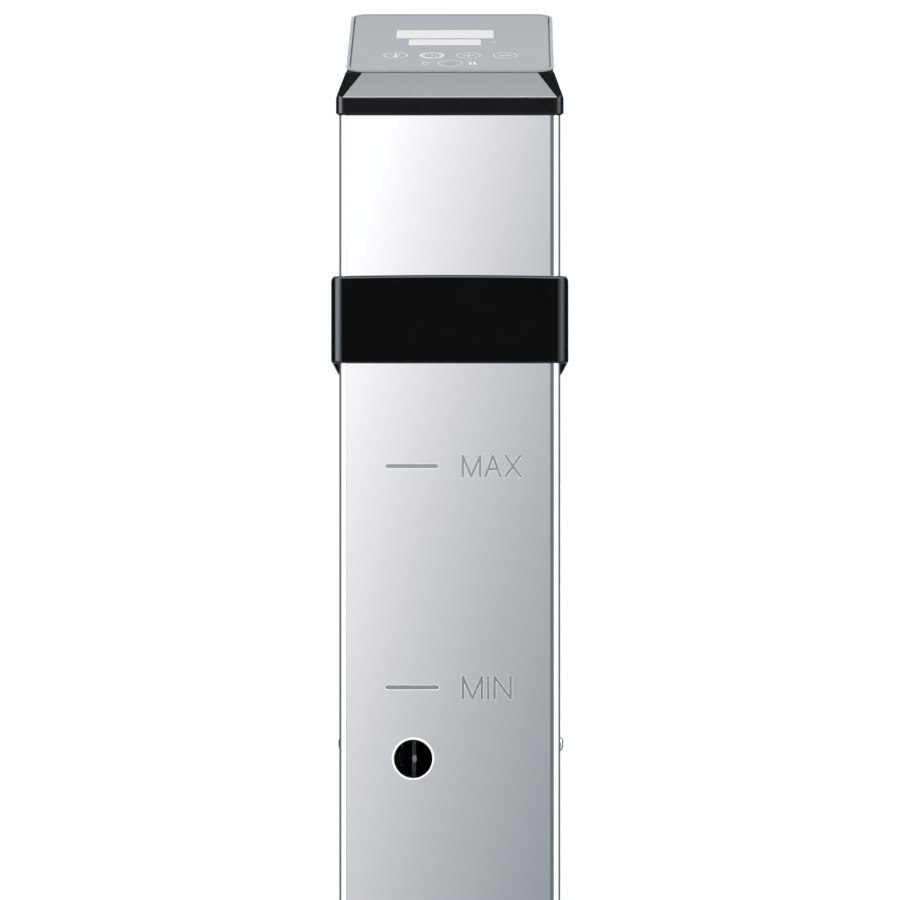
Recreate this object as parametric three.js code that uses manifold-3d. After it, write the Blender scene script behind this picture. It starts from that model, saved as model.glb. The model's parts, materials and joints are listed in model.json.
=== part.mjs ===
// A sous vide circulator: a rectangular stainless column that hangs in a water bath, with a heater and a
// pump inside its lower skirt, a tilted touch panel on a black head, and a screw clamp at the back that
// grips the wall of the pot. Millimetres, +Z up. X runs to the right of someone facing the front, Y runs
// to the back, and the origin is the middle of the base.
import * as THREE from "three";
import { mergeVertices } from "three/addons/utils/BufferGeometryUtils.js";
import Module from "manifold-3d";

const wasm = await Module();
wasm.setup();

// ---------------------------------------------------------------- driving dimensions

const GAP = 0.3; // between pieces that touch
const BODY = { width: 88, depth: 104, corner: 4.2, wall: 0.8 };
const SKIRT_TOP = 230.4;
const SLEEVE = { bottom: 230.7, top: 315.4 };
const RIM = {
  halfWidth: 45.3,
  front: -53.3,
  back: 53.3,
  bottom: 312.1,
  top: 318.8,
  corner: 4.3,
  chamfer: 1,
  lip: 2.7, // how far back its front lap reaches
  backHalfWidth: 44.25, // its sides run in to this width
  taperEnd: -10,
};
const PANEL = { tilt: 17.2, frontY: -42.3, frontZ: 330.9, width: 83, length: 97.8, corner: 7 };
const COLLAR = { halfWidth: 46.9, front: -55, back: 55, bottom: 213.6, top: 248.3, crown: 0.5, corner: 5.5 };
const OUTLET = { x: -14.5, z: 56.5, radius: 7.6 };
const PUMP = { x: 0, y: -8, bottom: 46.5, top: 66.5, radius: 19, chamber: 15.5 };
const SHAFT_RADIUS = 2.5;
const CLAMP = { z: 186, jawFace: 61.3, padFace: 71.3, legFront: 88, legBack: 96, screwRadius: 4 };

const BODY_BACK = BODY.depth / 2;
const BODY_FRONT = -BODY_BACK;
const INNER_X = BODY.width / 2 - BODY.wall;
const INNER_Y = BODY.depth / 2 - BODY.wall;

// ---------------------------------------------------------------- materials

const finish = (color, roughness, metalness) =>
  new THREE.MeshStandardMaterial({ color, roughness, metalness });
const MATERIAL = {
  steel: finish(0xc9ccd0, 0.25, 1),
  bright: finish(0xe6e8ea, 0.1, 1),
  black: finish(0x15171a, 0.35, 0),
  rubber: finish(0x202224, 0.85, 0),
  panel: finish(0x9a9ea2, 0.2, 0.1),
  lens: finish(0xe6e7ea, 0.3, 0),
  silver: finish(0xbfc2c6, 0.3, 0.4),
  board: finish(0x1f6b3a, 0.6, 0),
  brass: finish(0xb08d4a, 0.3, 1),
  white: finish(0xe8e6e0, 0.5, 0),
  copper: finish(0xa8623a, 0.4, 1),
};

// ---------------------------------------------------------------- helpers: shapes

const deg = THREE.MathUtils.degToRad;

function polygon(points) {
  return new THREE.Shape(points.map(([x, y]) => new THREE.Vector2(x, y)));
}

// A rectangle with round corners about its own middle, or about (cx, cy).
function roundedRect(width, height, radius, cx = 0, cy = 0) {
  const [x, y] = [width / 2 - radius, height / 2 - radius];
  const s = new THREE.Shape();
  s.absarc(cx + x, cy + y, radius, 0, Math.PI / 2);
  s.absarc(cx - x, cy + y, radius, Math.PI / 2, Math.PI);
  s.absarc(cx - x, cy - y, radius, Math.PI, 1.5 * Math.PI);
  s.absarc(cx + x, cy - y, radius, 1.5 * Math.PI, 2 * Math.PI);
  return s;
}

// ---------------------------------------------------------------- helpers: geometries

// A shape in XY, raised from z0 to z1. A chamfer cuts both edges back.
function plate(shape, z0, z1, { chamfer = 0, segments = 2 } = {}) {
  const bevel = { bevelThickness: chamfer, bevelSize: chamfer, bevelOffset: -chamfer, bevelSegments: 1 };
  const g = new THREE.ExtrudeGeometry(shape, {
    depth: z1 - z0 - 2 * chamfer,
    curveSegments: segments,
    bevelEnabled: chamfer > 0,
    ...bevel,
  });
  return g.translate(0, 0, z0 + chamfer);
}

// A shape drawn in Y and Z, run from x0 to x1.
function alongX(shape, x0, x1, segments = 2) {
  const g = plate(shape, x0, x1, { segments });
  return g.applyMatrix4(new THREE.Matrix4().set(0, 0, 1, 0, 1, 0, 0, 0, 0, 1, 0, 0, 0, 0, 0, 1));
}

// A shape drawn in X and Z, run from y0 to y1.
function alongY(shape, y0, y1, segments = 2) {
  return plate(shape, 0, y1 - y0, { segments }).rotateX(Math.PI / 2).translate(0, y1, 0);
}

function block([x0, x1], [y0, y1], [z0, z1]) {
  const g = new THREE.BoxGeometry(x1 - x0, y1 - y0, z1 - z0);
  return g.translate((x0 + x1) / 2, (y0 + y1) / 2, (z0 + z1) / 2);
}

// An upright round bar. A second radius, if given, is at its top.
function rodZ(radius, z0, z1, x = 0, y = 0, sides = 20, topRadius = radius) {
  const g = new THREE.CylinderGeometry(topRadius, radius, z1 - z0, sides);
  return g.rotateX(Math.PI / 2).translate(x, y, (z0 + z1) / 2);
}

// A round bar along Y. A second radius, if given, is at its back end.
function rodY(radius, y0, y1, x = 0, z = 0, sides = 20, backRadius = radius) {
  const g = new THREE.CylinderGeometry(backRadius, radius, y1 - y0, sides);
  return g.translate(x, (y0 + y1) / 2, z);
}

// A profile of [radius, height] points turned about Z, or about Y where axis says so.
function turned(profile, { axis = "z", sides = 20, x = 0, y = 0, z = 0 } = {}) {
  const points = profile.map(([r, h]) => new THREE.Vector2(r, h));
  const g = new THREE.LatheGeometry(points, sides);
  if (axis === "z") g.rotateX(Math.PI / 2);
  return g.translate(x, y, z);
}

// ---------------------------------------------------------------- helpers: solids

function volumeOf(position, index) {
  const [a, b, c] = [new THREE.Vector3(), new THREE.Vector3(), new THREE.Vector3()];
  let sum = 0;
  for (let i = 0; i < index.length; i += 3) {
    a.fromArray(position, 3 * index[i]);
    b.fromArray(position, 3 * index[i + 1]);
    c.fromArray(position, 3 * index[i + 2]);
    sum += a.dot(b.cross(c));
  }
  return sum / 6;
}

// A closed geometry as a manifold-3d solid, with its faces turned outwards.
function solid(geometry) {
  const bare = geometry.clone();
  bare.deleteAttribute("normal");
  bare.deleteAttribute("uv");
  const merged = mergeVertices(bare, 1e-4);
  const position = merged.attributes.position.array;
  const index = [];
  for (let i = 0; i < merged.index.count; i += 3) {
    const [a, b, c] = [0, 1, 2].map((k) => merged.index.getX(i + k));
    if (a !== b && b !== c && a !== c) index.push(a, b, c);
  }
  if (volumeOf(position, index) < 0) index.reverse();
  const mesh = new wasm.Mesh({ numProp: 3, vertProperties: position, triVerts: new Uint32Array(index) });
  return new wasm.Manifold(mesh);
}

const joined = (...geometries) => geometries.map(solid).reduce((a, b) => a.add(b));
const cut = (whole, ...tools) => tools.reduce((a, b) => a.subtract(solid(b)), whole);

function geometryOf(made) {
  const { vertProperties, triVerts } = made.getMesh();
  const g = new THREE.BufferGeometry();
  g.setAttribute("position", new THREE.BufferAttribute(new Float32Array(vertProperties), 3));
  g.setIndex(new THREE.BufferAttribute(new Uint32Array(triVerts), 1));
  g.computeVertexNormals();
  return g;
}

const circulator = new THREE.Group();
const panelGroup = new THREE.Group();
circulator.add(panelGroup);

// Adds one named piece. Its shape is a geometry or a cut solid.
function piece(name, shape, material, parent = circulator) {
  const made = shape.isBufferGeometry ? solid(shape) : shape;
  const mesh = new THREE.Mesh(geometryOf(made), MATERIAL[material]);
  mesh.name = name;
  parent.add(mesh);
  return mesh;
}

// A bar with a bore through it, along Z.
function ringZ(outer, inner, z0, z1, x = 0, y = 0, sides = 20) {
  return cut(solid(rodZ(outer, z0, z1, x, y, sides)), rodZ(inner, z0 - 1, z1 + 1, x, y, Math.max(sides, 16)));
}

// ---------------------------------------------------------------- the column

const bodyOutline = (grow = 0) =>
  roundedRect(BODY.width + 2 * grow, BODY.depth + 2 * grow, Math.max(BODY.corner + grow, 1));

function sheetTube(z0, z1) {
  return cut(solid(plate(bodyOutline(), z0, z1)), plate(bodyOutline(-BODY.wall), z0 - 1, z1 + 1));
}

const SIDE_SCREW = { z: 60, radius: 3, height: 1.7, shank: 1.5 };
const REAR_SLOT = { width: 34, height: 3.6, first: 16, pitch: 8, count: 6 };

function lowerSkirt() {
  const slots = [];
  for (let i = 0; i < REAR_SLOT.count; i++) {
    const z = REAR_SLOT.first + i * REAR_SLOT.pitch;
    const shape = roundedRect(REAR_SLOT.width, REAR_SLOT.height, REAR_SLOT.height / 2, 0, z);
    slots.push(alongY(shape, BODY_BACK - 2, BODY_BACK + 2, 1));
  }
  const outlet = rodY(OUTLET.radius + 0.6, BODY_FRONT - 2, BODY_FRONT + 2, OUTLET.x, OUTLET.z, 24);
  const side = new THREE.CylinderGeometry(1.8, 1.8, BODY.width + 4, 10).rotateZ(Math.PI / 2);
  return cut(sheetTube(0, SKIRT_TOP), outlet, side.translate(0, 0, SIDE_SCREW.z), ...slots);
}

piece("lower_skirt", lowerSkirt(), "steel");
piece("upper_sleeve", sheetTube(SLEEVE.bottom, SLEEVE.top), "steel");

// The base: a flat grille inside the foot of the skirt, with two banks of water slots.
const BASE = { thickness: 1.5, slotWidth: 3.4, slotLength: 30, pitch: 8, perBank: 9 };

function baseGrille() {
  const outline = roundedRect(2 * INNER_X - 2 * GAP, 2 * INNER_Y - 2 * GAP, 2.9);
  const first = (-(BASE.perBank - 1) * BASE.pitch) / 2;
  for (const side of [-1, 1]) {
    for (let i = 0; i < BASE.perBank; i++) {
      const y = side * 27;
      const x = first + i * BASE.pitch;
      const slot = roundedRect(BASE.slotWidth, BASE.slotLength, BASE.slotWidth / 2, x, y);
      outline.holes.push(new THREE.Path(slot.getPoints(1)));
    }
  }
  return plate(outline, 0, BASE.thickness, { segments: 1 });
}

piece("base_grille", baseGrille(), "steel");

// A strap round the inside of the column's back and sides, which the two side screws fix to the skirt.
const STRAP = { width: 9, thickness: 2, bottom: 62, top: 74 };

function skirtStrap() {
  const reach = INNER_X - GAP;
  const [z0, z1] = [STRAP.bottom, STRAP.top];
  const inside = reach - STRAP.thickness;
  const u = cut(
    solid(plate(bodyOutline(-BODY.wall - GAP), z0, z1)),
    block([-reach - 1, reach + 1], [-60, -STRAP.width / 2], [z0 - 1, z1 + 1]),
    block([-inside, inside], [-6, INNER_Y - GAP - STRAP.thickness], [z0 - 1, z1 + 1]),
  );
  const hole = new THREE.CylinderGeometry(1.8, 1.8, BODY.width + 4, 10).rotateZ(Math.PI / 2);
  return cut(u, hole.translate(0, 0, SIDE_SCREW.z));
}

piece("skirt_strap", skirtStrap(), "steel");

function sideScrew(side) {
  const { radius, height, shank, z } = SIDE_SCREW;
  const dome = [
    [0, -6],
    [shank, -6],
    [shank, GAP],
    [radius, GAP],
    [radius * 0.93, height * 0.45],
    [radius * 0.7, height * 0.8],
    [radius * 0.35, height],
    [0, height],
  ];
  const g = turned(dome, { axis: "y", sides: 12 }).rotateZ((-side * Math.PI) / 2);
  const body = solid(g.translate((side * BODY.width) / 2, 0, z));
  const tip = (side * BODY.width) / 2 + side * height;
  const across = [tip - 0.7, tip + 0.7];
  const [long, short] = [1.6, 0.35];
  return cut(
    body,
    block(across, [-long, long], [z - short, z + short]),
    block(across, [-short, short], [z - long, z + long]),
  );
}

piece("side_screw_left", sideScrew(-1), "bright");
piece("side_screw_right", sideScrew(1), "bright");

// ---------------------------------------------------------------- the bulkhead between wet and dry

const BULKHEAD = { bottom: 214, floorTop: 217.5, top: 246 };
const HEATER_LEG = { x: 30, y: 30, radius: 3.7 };
const PROBE = { x: 30, y: -32, radius: 2.5, bottom: 40 };
const ELECTRODE = { x: -30, radius: 2, ys: [-28, -38], bottoms: [80, 30] };
const COLUMN = { outer: 9, inner: 6.4, bottom: 66.8 };

function bulkhead() {
  const hollow = roundedRect(2 * INNER_X - 6, 2 * INNER_Y - 6, 2);
  const outline = roundedRect(2 * INNER_X - 2 * GAP, 2 * INNER_Y - 2 * GAP, 2.9);
  const tray = solid(plate(outline, BULKHEAD.bottom, BULKHEAD.top));
  const through = (radius, x, y) => rodZ(radius, BULKHEAD.bottom - 1, BULKHEAD.floorTop + 1, x, y, 14);
  return cut(
    tray,
    plate(hollow, BULKHEAD.floorTop, BULKHEAD.top + 1),
    through(4, PUMP.x, PUMP.y),
    through(6.5, HEATER_LEG.x, HEATER_LEG.y),
    through(6.5, -HEATER_LEG.x, HEATER_LEG.y),
    through(4.5, PROBE.x, PROBE.y),
    plate(roundedRect(9.6, 19.6, 4.3, ELECTRODE.x, -33), BULKHEAD.bottom - 1, BULKHEAD.floorTop + 1, {
      segments: 3,
    }),
  );
}

function bulkheadGasket() {
  const [z0, z1] = [BULKHEAD.bottom - 1.8, BULKHEAD.bottom - GAP];
  const outline = roundedRect(2 * INNER_X - 1, 2 * INNER_Y - 1, 2.9);
  outline.holes.push(new THREE.Path(roundedRect(2 * INNER_X - 9, 2 * INNER_Y - 9, 2).getPoints(4)));
  return plate(outline, z0, z1);
}

piece("bulkhead", bulkhead(), "black");
piece("bulkhead_gasket", bulkheadGasket(), "rubber");

// ---------------------------------------------------------------- heater and sensors

const HEATER = { low: 24, rise: 21, bend: 10, legTop: 232, radius: 3.3, steps: 28 };

// The middle line of the serpentine: down, round, up, round, down, round and up, in equal steps.
function serpentine() {
  const { low, rise, bend } = HEATER;
  const path = new THREE.CurvePath();
  const at = (x, z) => new THREE.Vector3(x, HEATER_LEG.y, z);
  const line = (x, z0, z1) => path.add(new THREE.LineCurve3(at(x, z0), at(x, z1)));
  const quarter = (from, toX, toZ, viaX, viaZ) => {
    const leaving = at(from.x + viaX[0], from.z + viaZ[0]);
    const arriving = at(toX + viaX[1], toZ + viaZ[1]);
    path.add(new THREE.CubicBezierCurve3(from, leaving, arriving, at(toX, toZ)));
  };
  const half = (x, z, way) => {
    const k = 0.5523 * bend;
    quarter(at(x, z), x + bend, z + way * bend, [0, -k], [way * k, 0]);
    quarter(at(x + bend, z + way * bend), x + 2 * bend, z, [k, 0], [0, way * k]);
  };
  const left = -HEATER_LEG.x;
  const z = low + bend;
  line(left, z + rise / 4, z);
  half(left, z, -1);
  line(left + 2 * bend, z, z + rise);
  half(left + 2 * bend, z + rise, 1);
  line(left + 4 * bend, z + rise, z);
  half(left + 4 * bend, z, -1);
  line(left + 6 * bend, z, z + rise / 4);
  return path;
}

// The serpentine with its two straight cold ends, which are a little thicker.
function heaterTube() {
  const section = new THREE.Shape().absarc(0, 0, HEATER.radius, 0, 2 * Math.PI);
  const coil = new THREE.ExtrudeGeometry(section, {
    steps: HEATER.steps,
    curveSegments: 5,
    extrudePath: serpentine(),
  });
  const legFoot = HEATER.low + HEATER.bend + 2;
  const leg = (side) =>
    rodZ(HEATER_LEG.radius, legFoot, HEATER.legTop, side * HEATER_LEG.x, HEATER_LEG.y, 12);
  return joined(coil, leg(-1), leg(1));
}

piece("heating_element", heaterTube(), "bright");
for (const [side, name] of [[-1, "left"], [1, "right"]]) {
  const x = side * HEATER_LEG.x;
  piece(`heater_gland_${name}`, ringZ(6.1, HEATER_LEG.radius + 0.4, 212.4, 224, x, HEATER_LEG.y, 6), "brass");
}

function roundTipped(radius, bottom, top, x, y) {
  const shoulder = [radius * 0.7, bottom + radius * 0.3];
  const tip = [[0, bottom], shoulder, [radius, bottom + radius], [radius, top], [0, top]];
  return turned(tip, { sides: 12, x, y });
}

piece("temperature_probe", roundTipped(PROBE.radius, PROBE.bottom, 230, PROBE.x, PROBE.y), "bright");
piece("probe_gland", ringZ(4.1, PROBE.radius + 0.4, 213, 223, PROBE.x, PROBE.y, 6), "brass");
for (const [i, name] of ["short", "long"].entries()) {
  const [x, y] = [ELECTRODE.x, ELECTRODE.ys[i]];
  piece(`level_electrode_${name}`, roundTipped(ELECTRODE.radius, ELECTRODE.bottoms[i], 230, x, y), "bright");
}

// One ceramic block seals and insulates both level electrodes.
function electrodeBlock() {
  const { x, ys, radius } = ELECTRODE;
  const body = solid(plate(roundedRect(9, 19, 4, x, (ys[0] + ys[1]) / 2), 212, 224, { segments: 3 }));
  return cut(body, ...ys.map((y) => rodZ(radius + 0.4, 211, 225, x, y, 12)));
}

piece("electrode_block", electrodeBlock(), "white");

// ---------------------------------------------------------------- pump

// A round chamber with a duct that leaves it at a tangent and runs to the front.
function pumpHousing() {
  const { x, y, bottom, top, radius, chamber } = PUMP;
  const duct = rodY(OUTLET.radius + 1.9, -31, y, OUTLET.x, OUTLET.z, 20);
  return cut(
    joined(rodZ(radius, bottom, top, x, y, 28), duct),
    rodZ(chamber, bottom - 1, top - 2, x, y, 28),
    rodY(OUTLET.radius, -40, y, OUTLET.x, OUTLET.z, 20),
    rodZ(3.4, top - 3, top + 1, x, y, 16),
  );
}

function pumpCover() {
  const { x, y, bottom, radius } = PUMP;
  return ringZ(radius, 7, bottom - 3, bottom - GAP, x, y, 28);
}

// The tube from the pump to the front wall, with an upright bar across it as a finger guard.
const NOZZLE = { back: -31.3, front: -50.9, bar: 1.7, barFront: -49.6, barBack: -45.6 };

function outletNozzle() {
  const tube = cut(
    solid(rodY(OUTLET.radius + 1.9, NOZZLE.front, NOZZLE.back, OUTLET.x, OUTLET.z, 28)),
    rodY(OUTLET.radius, NOZZLE.front - 1, NOZZLE.back + 1, OUTLET.x, OUTLET.z, 24),
  );
  const reach = OUTLET.radius + 0.8;
  const xs = [OUTLET.x - NOZZLE.bar / 2, OUTLET.x + NOZZLE.bar / 2];
  return tube.add(solid(block(xs, [NOZZLE.barFront, NOZZLE.barBack], [OUTLET.z - reach, OUTLET.z + reach])));
}

// The bright eyelet that lines the hole in the skirt, with its lip on the outside.
function outletRing() {
  const r = OUTLET.radius;
  const profile = [
    [r, 0.9],
    [r, -0.5],
    [r + 0.25, -0.85],
    [r + 0.7, -0.9],
    [r + 1.05, -0.55],
    [r + 1.1, -GAP],
    [r + 0.35, -GAP],
    [r + 0.35, 0.9],
    [r, 0.9],
  ];
  return turned(profile, { axis: "y", sides: 24, x: OUTLET.x, y: BODY_FRONT, z: OUTLET.z });
}

piece("pump_housing", pumpHousing(), "black");
piece("pump_cover", pumpCover(), "black");
piece("outlet_nozzle", outletNozzle(), "black");
piece("outlet_ring", outletRing(), "bright");
const columnTube = ringZ(COLUMN.outer, COLUMN.inner, COLUMN.bottom, BULKHEAD.bottom - GAP, PUMP.x, PUMP.y);
piece("pump_column", columnTube, "steel");
piece("lower_bearing", ringZ(6.1, SHAFT_RADIUS + GAP, 70, 78, PUMP.x, PUMP.y), "brass");
piece("shaft_seal", ringZ(6.1, SHAFT_RADIUS + GAP, 200, 206, PUMP.x, PUMP.y), "rubber");

// ---------------------------------------------------------------- motor and everything on its shaft

const MOTOR = { radius: 20, bottom: 221, top: 261, inner: 17.5 };
const FAN = { bottom: 266, height: 6, radius: 18, blades: 6 };
const IMPELLER = { bottom: 50, height: 11, radius: 12.5, blades: 6 };

function motorCan() {
  const { radius, bottom, top, inner } = MOTOR;
  return cut(
    solid(rodZ(radius, bottom, top, PUMP.x, PUMP.y, 28)),
    rodZ(inner, bottom + 2, top - 2, PUMP.x, PUMP.y, 28),
    rodZ(4.5, bottom - 1, top + 1, PUMP.x, PUMP.y, 14),
  );
}

function motorPlate() {
  const outline = roundedRect(46, 46, 4, PUMP.x, PUMP.y);
  outline.holes.push(new THREE.Path().absarc(PUMP.x, PUMP.y, 5, 0, 2 * Math.PI));
  return plate(outline, BULKHEAD.floorTop + GAP, MOTOR.bottom - GAP);
}

// A hub with flat blades standing round it. Pitch turns each blade about its own length.
function bladed({ bottom, height, radius, blades }, hub, thickness, pitch) {
  let made = solid(rodZ(hub, bottom, bottom + height, 0, 0, 16));
  for (let i = 0; i < blades; i++) {
    const reach = height / 2 / Math.cos(pitch);
    const blade = block([hub - 1, radius], [-thickness / 2, thickness / 2], [-reach, reach]);
    blade.rotateX(pitch).translate(0, 0, bottom + height / 2).rotateZ((i * 2 * Math.PI) / blades);
    made = made.add(solid(blade));
  }
  return made;
}

function onShaft(made, z0, z1) {
  const bored = cut(made, rodZ(SHAFT_RADIUS + GAP, z0 - 1, z1 + 1, 0, 0, 16));
  return geometryOf(bored).translate(PUMP.x, PUMP.y, 0);
}

function impeller() {
  const { bottom, height, radius } = IMPELLER;
  const disc = solid(rodZ(radius, bottom + height - 2, bottom + height, 0, 0, 28));
  return onShaft(bladed(IMPELLER, 4.6, 1.4, 0).add(disc), bottom, bottom + height);
}

piece("motor_plate", motorPlate(), "steel");
piece("motor_can", motorCan(), "steel");
piece("motor_stator", ringZ(17.1, 12.5, 228, 254, PUMP.x, PUMP.y, 24), "copper");
piece("motor_rotor", ringZ(11.6, SHAFT_RADIUS + GAP, 229, 253, PUMP.x, PUMP.y, 24), "steel");
piece("motor_shaft", rodZ(SHAFT_RADIUS, 48.8, 275, PUMP.x, PUMP.y, 16), "bright");
piece("impeller", impeller(), "white");
piece("cooling_fan", onShaft(bladed(FAN, 6, 1.2, deg(35)), FAN.bottom, FAN.bottom + FAN.height), "white");

// ---------------------------------------------------------------- power electronics

const POWER = { y: 41, x0: -38, x1: 38, z0: 217.8, z1: 312.6, thickness: 1.6 };

function heatsink() {
  const [y1, base, fin, count, pitch] = [POWER.y - GAP, 2.5, 10, 6, 5];
  const x0 = -34;
  const points = [[x0, y1], [x0 + (count - 1) * pitch + 1.5, y1]];
  for (let i = count - 1; i >= 0; i--) {
    const x = x0 + i * pitch;
    points.push([x + 1.5, y1 - base - fin], [x, y1 - base - fin]);
    if (i > 0) points.push([x, y1 - base], [x - pitch + 1.5, y1 - base]);
  }
  return plate(polygon(points), 276, 300);
}

const inFront = POWER.y - GAP;
const powerBoard = block([POWER.x0, POWER.x1], [POWER.y, POWER.y + POWER.thickness], [POWER.z0, POWER.z1]);
piece("power_board", powerBoard, "board");
piece("triac_heatsink", heatsink(), "silver");
piece("capacitor", rodY(6, inFront - 12, inFront, 30, 290, 14), "copper");
piece("terminal_block", block([24, 37], [inFront - 9, inFront], [256, 274]), "black");

// ---------------------------------------------------------------- head

const HEAD = { shoulderHalf: 41.2, shoulderZ: 331, seat: 1.5, top: 366, wall: 3, roof: 2.6 };
const HEAD_SCREWS = [
  [-34, 38],
  [34, 38],
];
const GLAND = { z: 336, hole: 7, bore: 3.8 };
const slope = deg(PANEL.tilt);

// The height, at a place along Y, of a plane that lies a given depth under the panel's face.
const underPanel = (depth, y) =>
  PANEL.frontZ + (y - PANEL.frontY) * Math.tan(slope) - depth / Math.cos(slope);

// The front of the head rises at 45 degrees from the rim to a ridge against the front of the bezel.
const apronZ = (y) => RIM.top + (y - RIM.front);
const RIDGE = { y: PANEL.frontY, footY: PANEL.frontY + 0.16 };

function headFromSide() {
  const backTop = RIM.back - 0.8;
  return polygon([
    [RIM.front, RIM.bottom + 2],
    [RIM.front, RIM.top],
    [RIDGE.y, apronZ(RIDGE.y)],
    [RIDGE.footY, underPanel(HEAD.seat, RIDGE.footY)],
    [backTop - 1, underPanel(HEAD.seat, backTop - 1)],
    [backTop, underPanel(HEAD.seat, backTop) - 1],
    [RIM.back, RIM.top + 4],
    [RIM.back, RIM.bottom + 2],
  ]);
}

function headFromFront() {
  const right = [
    [RIM.halfWidth, RIM.bottom + 2],
    [RIM.halfWidth, RIM.top],
    [HEAD.shoulderHalf, HEAD.shoulderZ],
    [HEAD.shoulderHalf, HEAD.top],
  ];
  const left = right.map(([x, z]) => [-x, z]).reverse();
  return polygon([...right, ...left]);
}

// The grey inlay on the sloping front of the head: a thin trapezium in a shallow recess of its own shape.
const INLAY = { bottomHalf: 42.7, topHalf: 35, thickness: 0.6, proud: 0.2, margin: 0.4 };

function onApron(low, high, grow) {
  const length = (RIDGE.y - RIM.front) * Math.SQRT2;
  const { bottomHalf, topHalf, margin } = INLAY;
  const shape = polygon([
    [-bottomHalf - grow, margin - grow],
    [bottomHalf + grow, margin - grow],
    [topHalf + grow, length - margin + grow],
    [-topHalf - grow, length - margin + grow],
  ]);
  return plate(shape, low, high).rotateX(deg(45)).translate(0, RIM.front, RIM.top);
}

const frontInlay = () => onApron(INLAY.proud - INLAY.thickness, INLAY.proud, 0);
const inlayRecess = () => onApron(INLAY.proud - INLAY.thickness - GAP, 3, 0.35);

// The hollow of the head, as wide as the shoulders allow, under the slope.
function headHollow() {
  const back = RIM.back - HEAD.wall - 0.5;
  const roof = HEAD.seat + HEAD.roof;
  const shape = polygon([
    [-46, SLEEVE.top],
    [-46, SLEEVE.top + 3.4],
    [PANEL.frontY + 5, underPanel(roof, PANEL.frontY + 5)],
    [back, underPanel(roof, back)],
    [back, SLEEVE.top],
  ]);
  return alongX(shape, -38, 38);
}

// Only the front of the rim laps over the sleeve. Behind its front corners the rim ends above the sleeve.
function behindLip() {
  const above = SLEEVE.top + GAP;
  const start = RIM.front + RIM.lip;
  return polygon([
    [start, RIM.bottom - 5],
    [start, RIM.bottom],
    [start + above - RIM.bottom, above],
    [RIM.back + 5, above],
    [RIM.back + 5, RIM.bottom - 5],
  ]);
}

// The head seen from above: its sides run in behind the rim's front corners until they meet the sleeve's.
function headPlan() {
  const { halfWidth, backHalfWidth, front, back, lip, taperEnd } = RIM;
  const right = [
    [halfWidth, front - 5],
    [halfWidth, front + lip],
    [backHalfWidth, taperEnd],
    [backHalfWidth, back + 5],
  ];
  const left = right.map(([x, y]) => [-x, y]).reverse();
  return polygon([...right, ...left]);
}

function headHousing() {
  const outline = roundedRect(2 * RIM.halfWidth, RIM.back - RIM.front, RIM.corner);
  const rim = solid(plate(outline, RIM.bottom, RIM.top, { chamfer: RIM.chamfer }));
  const upper = solid(plate(outline, RIM.bottom + 2, HEAD.top))
    .intersect(solid(alongX(headFromSide(), -60, 60)))
    .intersect(solid(alongY(headFromFront(), -70, 80)));
  const well = plate(roundedRect(74, 88, 5), -9, 3).applyMatrix4(panelMatrix());
  const hollowed = cut(
    rim.add(upper).intersect(solid(plate(headPlan(), RIM.bottom - 1, HEAD.top + 1))),
    plate(bodyOutline(GAP), RIM.bottom - 1, SLEEVE.top + GAP),
    alongX(behindLip(), -60, 60),
    headHollow(),
    inlayRecess(),
    well,
    rodY(GLAND.hole, 48, 55, 0, GLAND.z, 20),
  );
  const bosses = HEAD_SCREWS.map(([x, y]) => solid(rodZ(4.2, SLEEVE.top + GAP, underPanel(3, y), x, y, 12)));
  return cut(
    bosses.reduce((a, b) => a.add(b), hollowed),
    ...HEAD_SCREWS.map(([x, y]) => rodZ(1.8, 314, 320, x, y, 10)),
  );
}

// The panel's own frame, from its middle: X across, Y up the slope, Z out of it.
function panelMatrix() {
  const half = PANEL.length / 2;
  const [c, s] = [Math.cos(slope), Math.sin(slope)];
  const turn = new THREE.Matrix4().makeRotationX(slope);
  return turn.setPosition(0, PANEL.frontY + half * c, PANEL.frontZ + half * s);
}

panelGroup.applyMatrix4(panelMatrix());

// A flat piece of the panel stack: a rounded rectangle in the panel's own frame.
function panelPlate(width, length, radius, low, high, holes = []) {
  const outline = roundedRect(width, length, radius);
  outline.holes.push(...holes);
  return plate(outline, low, high, { segments: 3 });
}

// Places along the panel are given from its front edge, as someone using it would measure them.
const fromFrontEdge = (t) => t - PANEL.length / 2;
const WINDOW = {
  temperature: { x: -2.5, low: 54.8, high: 69.6, width: 40.2 },
  timer: { x: -2.5, low: 42.7, high: 53.4, width: 29.9 },
};

function windowShape({ x, low, high, width }, grow) {
  const [w, h] = [width + 2 * grow, high - low + 2 * grow];
  return roundedRect(w, h, 0.4, x, fromFrontEdge((low + high) / 2));
}

piece("head_housing", headHousing(), "black");

const bezelInside = roundedRect(PANEL.width - 2.8, PANEL.length - 2.8, PANEL.corner - 1.4);
const bezelHole = new THREE.Path(bezelInside.getPoints(3));
const bezel = panelPlate(PANEL.width, PANEL.length, PANEL.corner, -1.2, 0, [bezelHole]);
piece("panel_bezel", bezel, "silver", panelGroup);

const windowHoles = Object.values(WINDOW).map((w) => new THREE.Path(windowShape(w, 0).getPoints(1)));
piece(
  "control_panel",
  panelPlate(PANEL.width - 3.8, PANEL.length - 3.8, PANEL.corner - 1.9, -1.2, 0.3, windowHoles),
  "panel",
  panelGroup,
);
for (const [name, w] of Object.entries(WINDOW)) {
  const pane = plate(windowShape(w, -0.2), -1.2, 0.25, { segments: 1 });
  piece(`${name}_display_window`, pane, "lens", panelGroup);
}

// One block behind both windows carries the two rows of digits.
function displayModule() {
  const row = (w, top) =>
    block([w.x - w.width / 2, w.x + w.width / 2], [fromFrontEdge(w.low), fromFrontEdge(top)], [-7.2, -1.6]);
  const { timer, temperature } = WINDOW;
  return joined(row(timer, temperature.low + 1), row(temperature, temperature.high));
}

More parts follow.
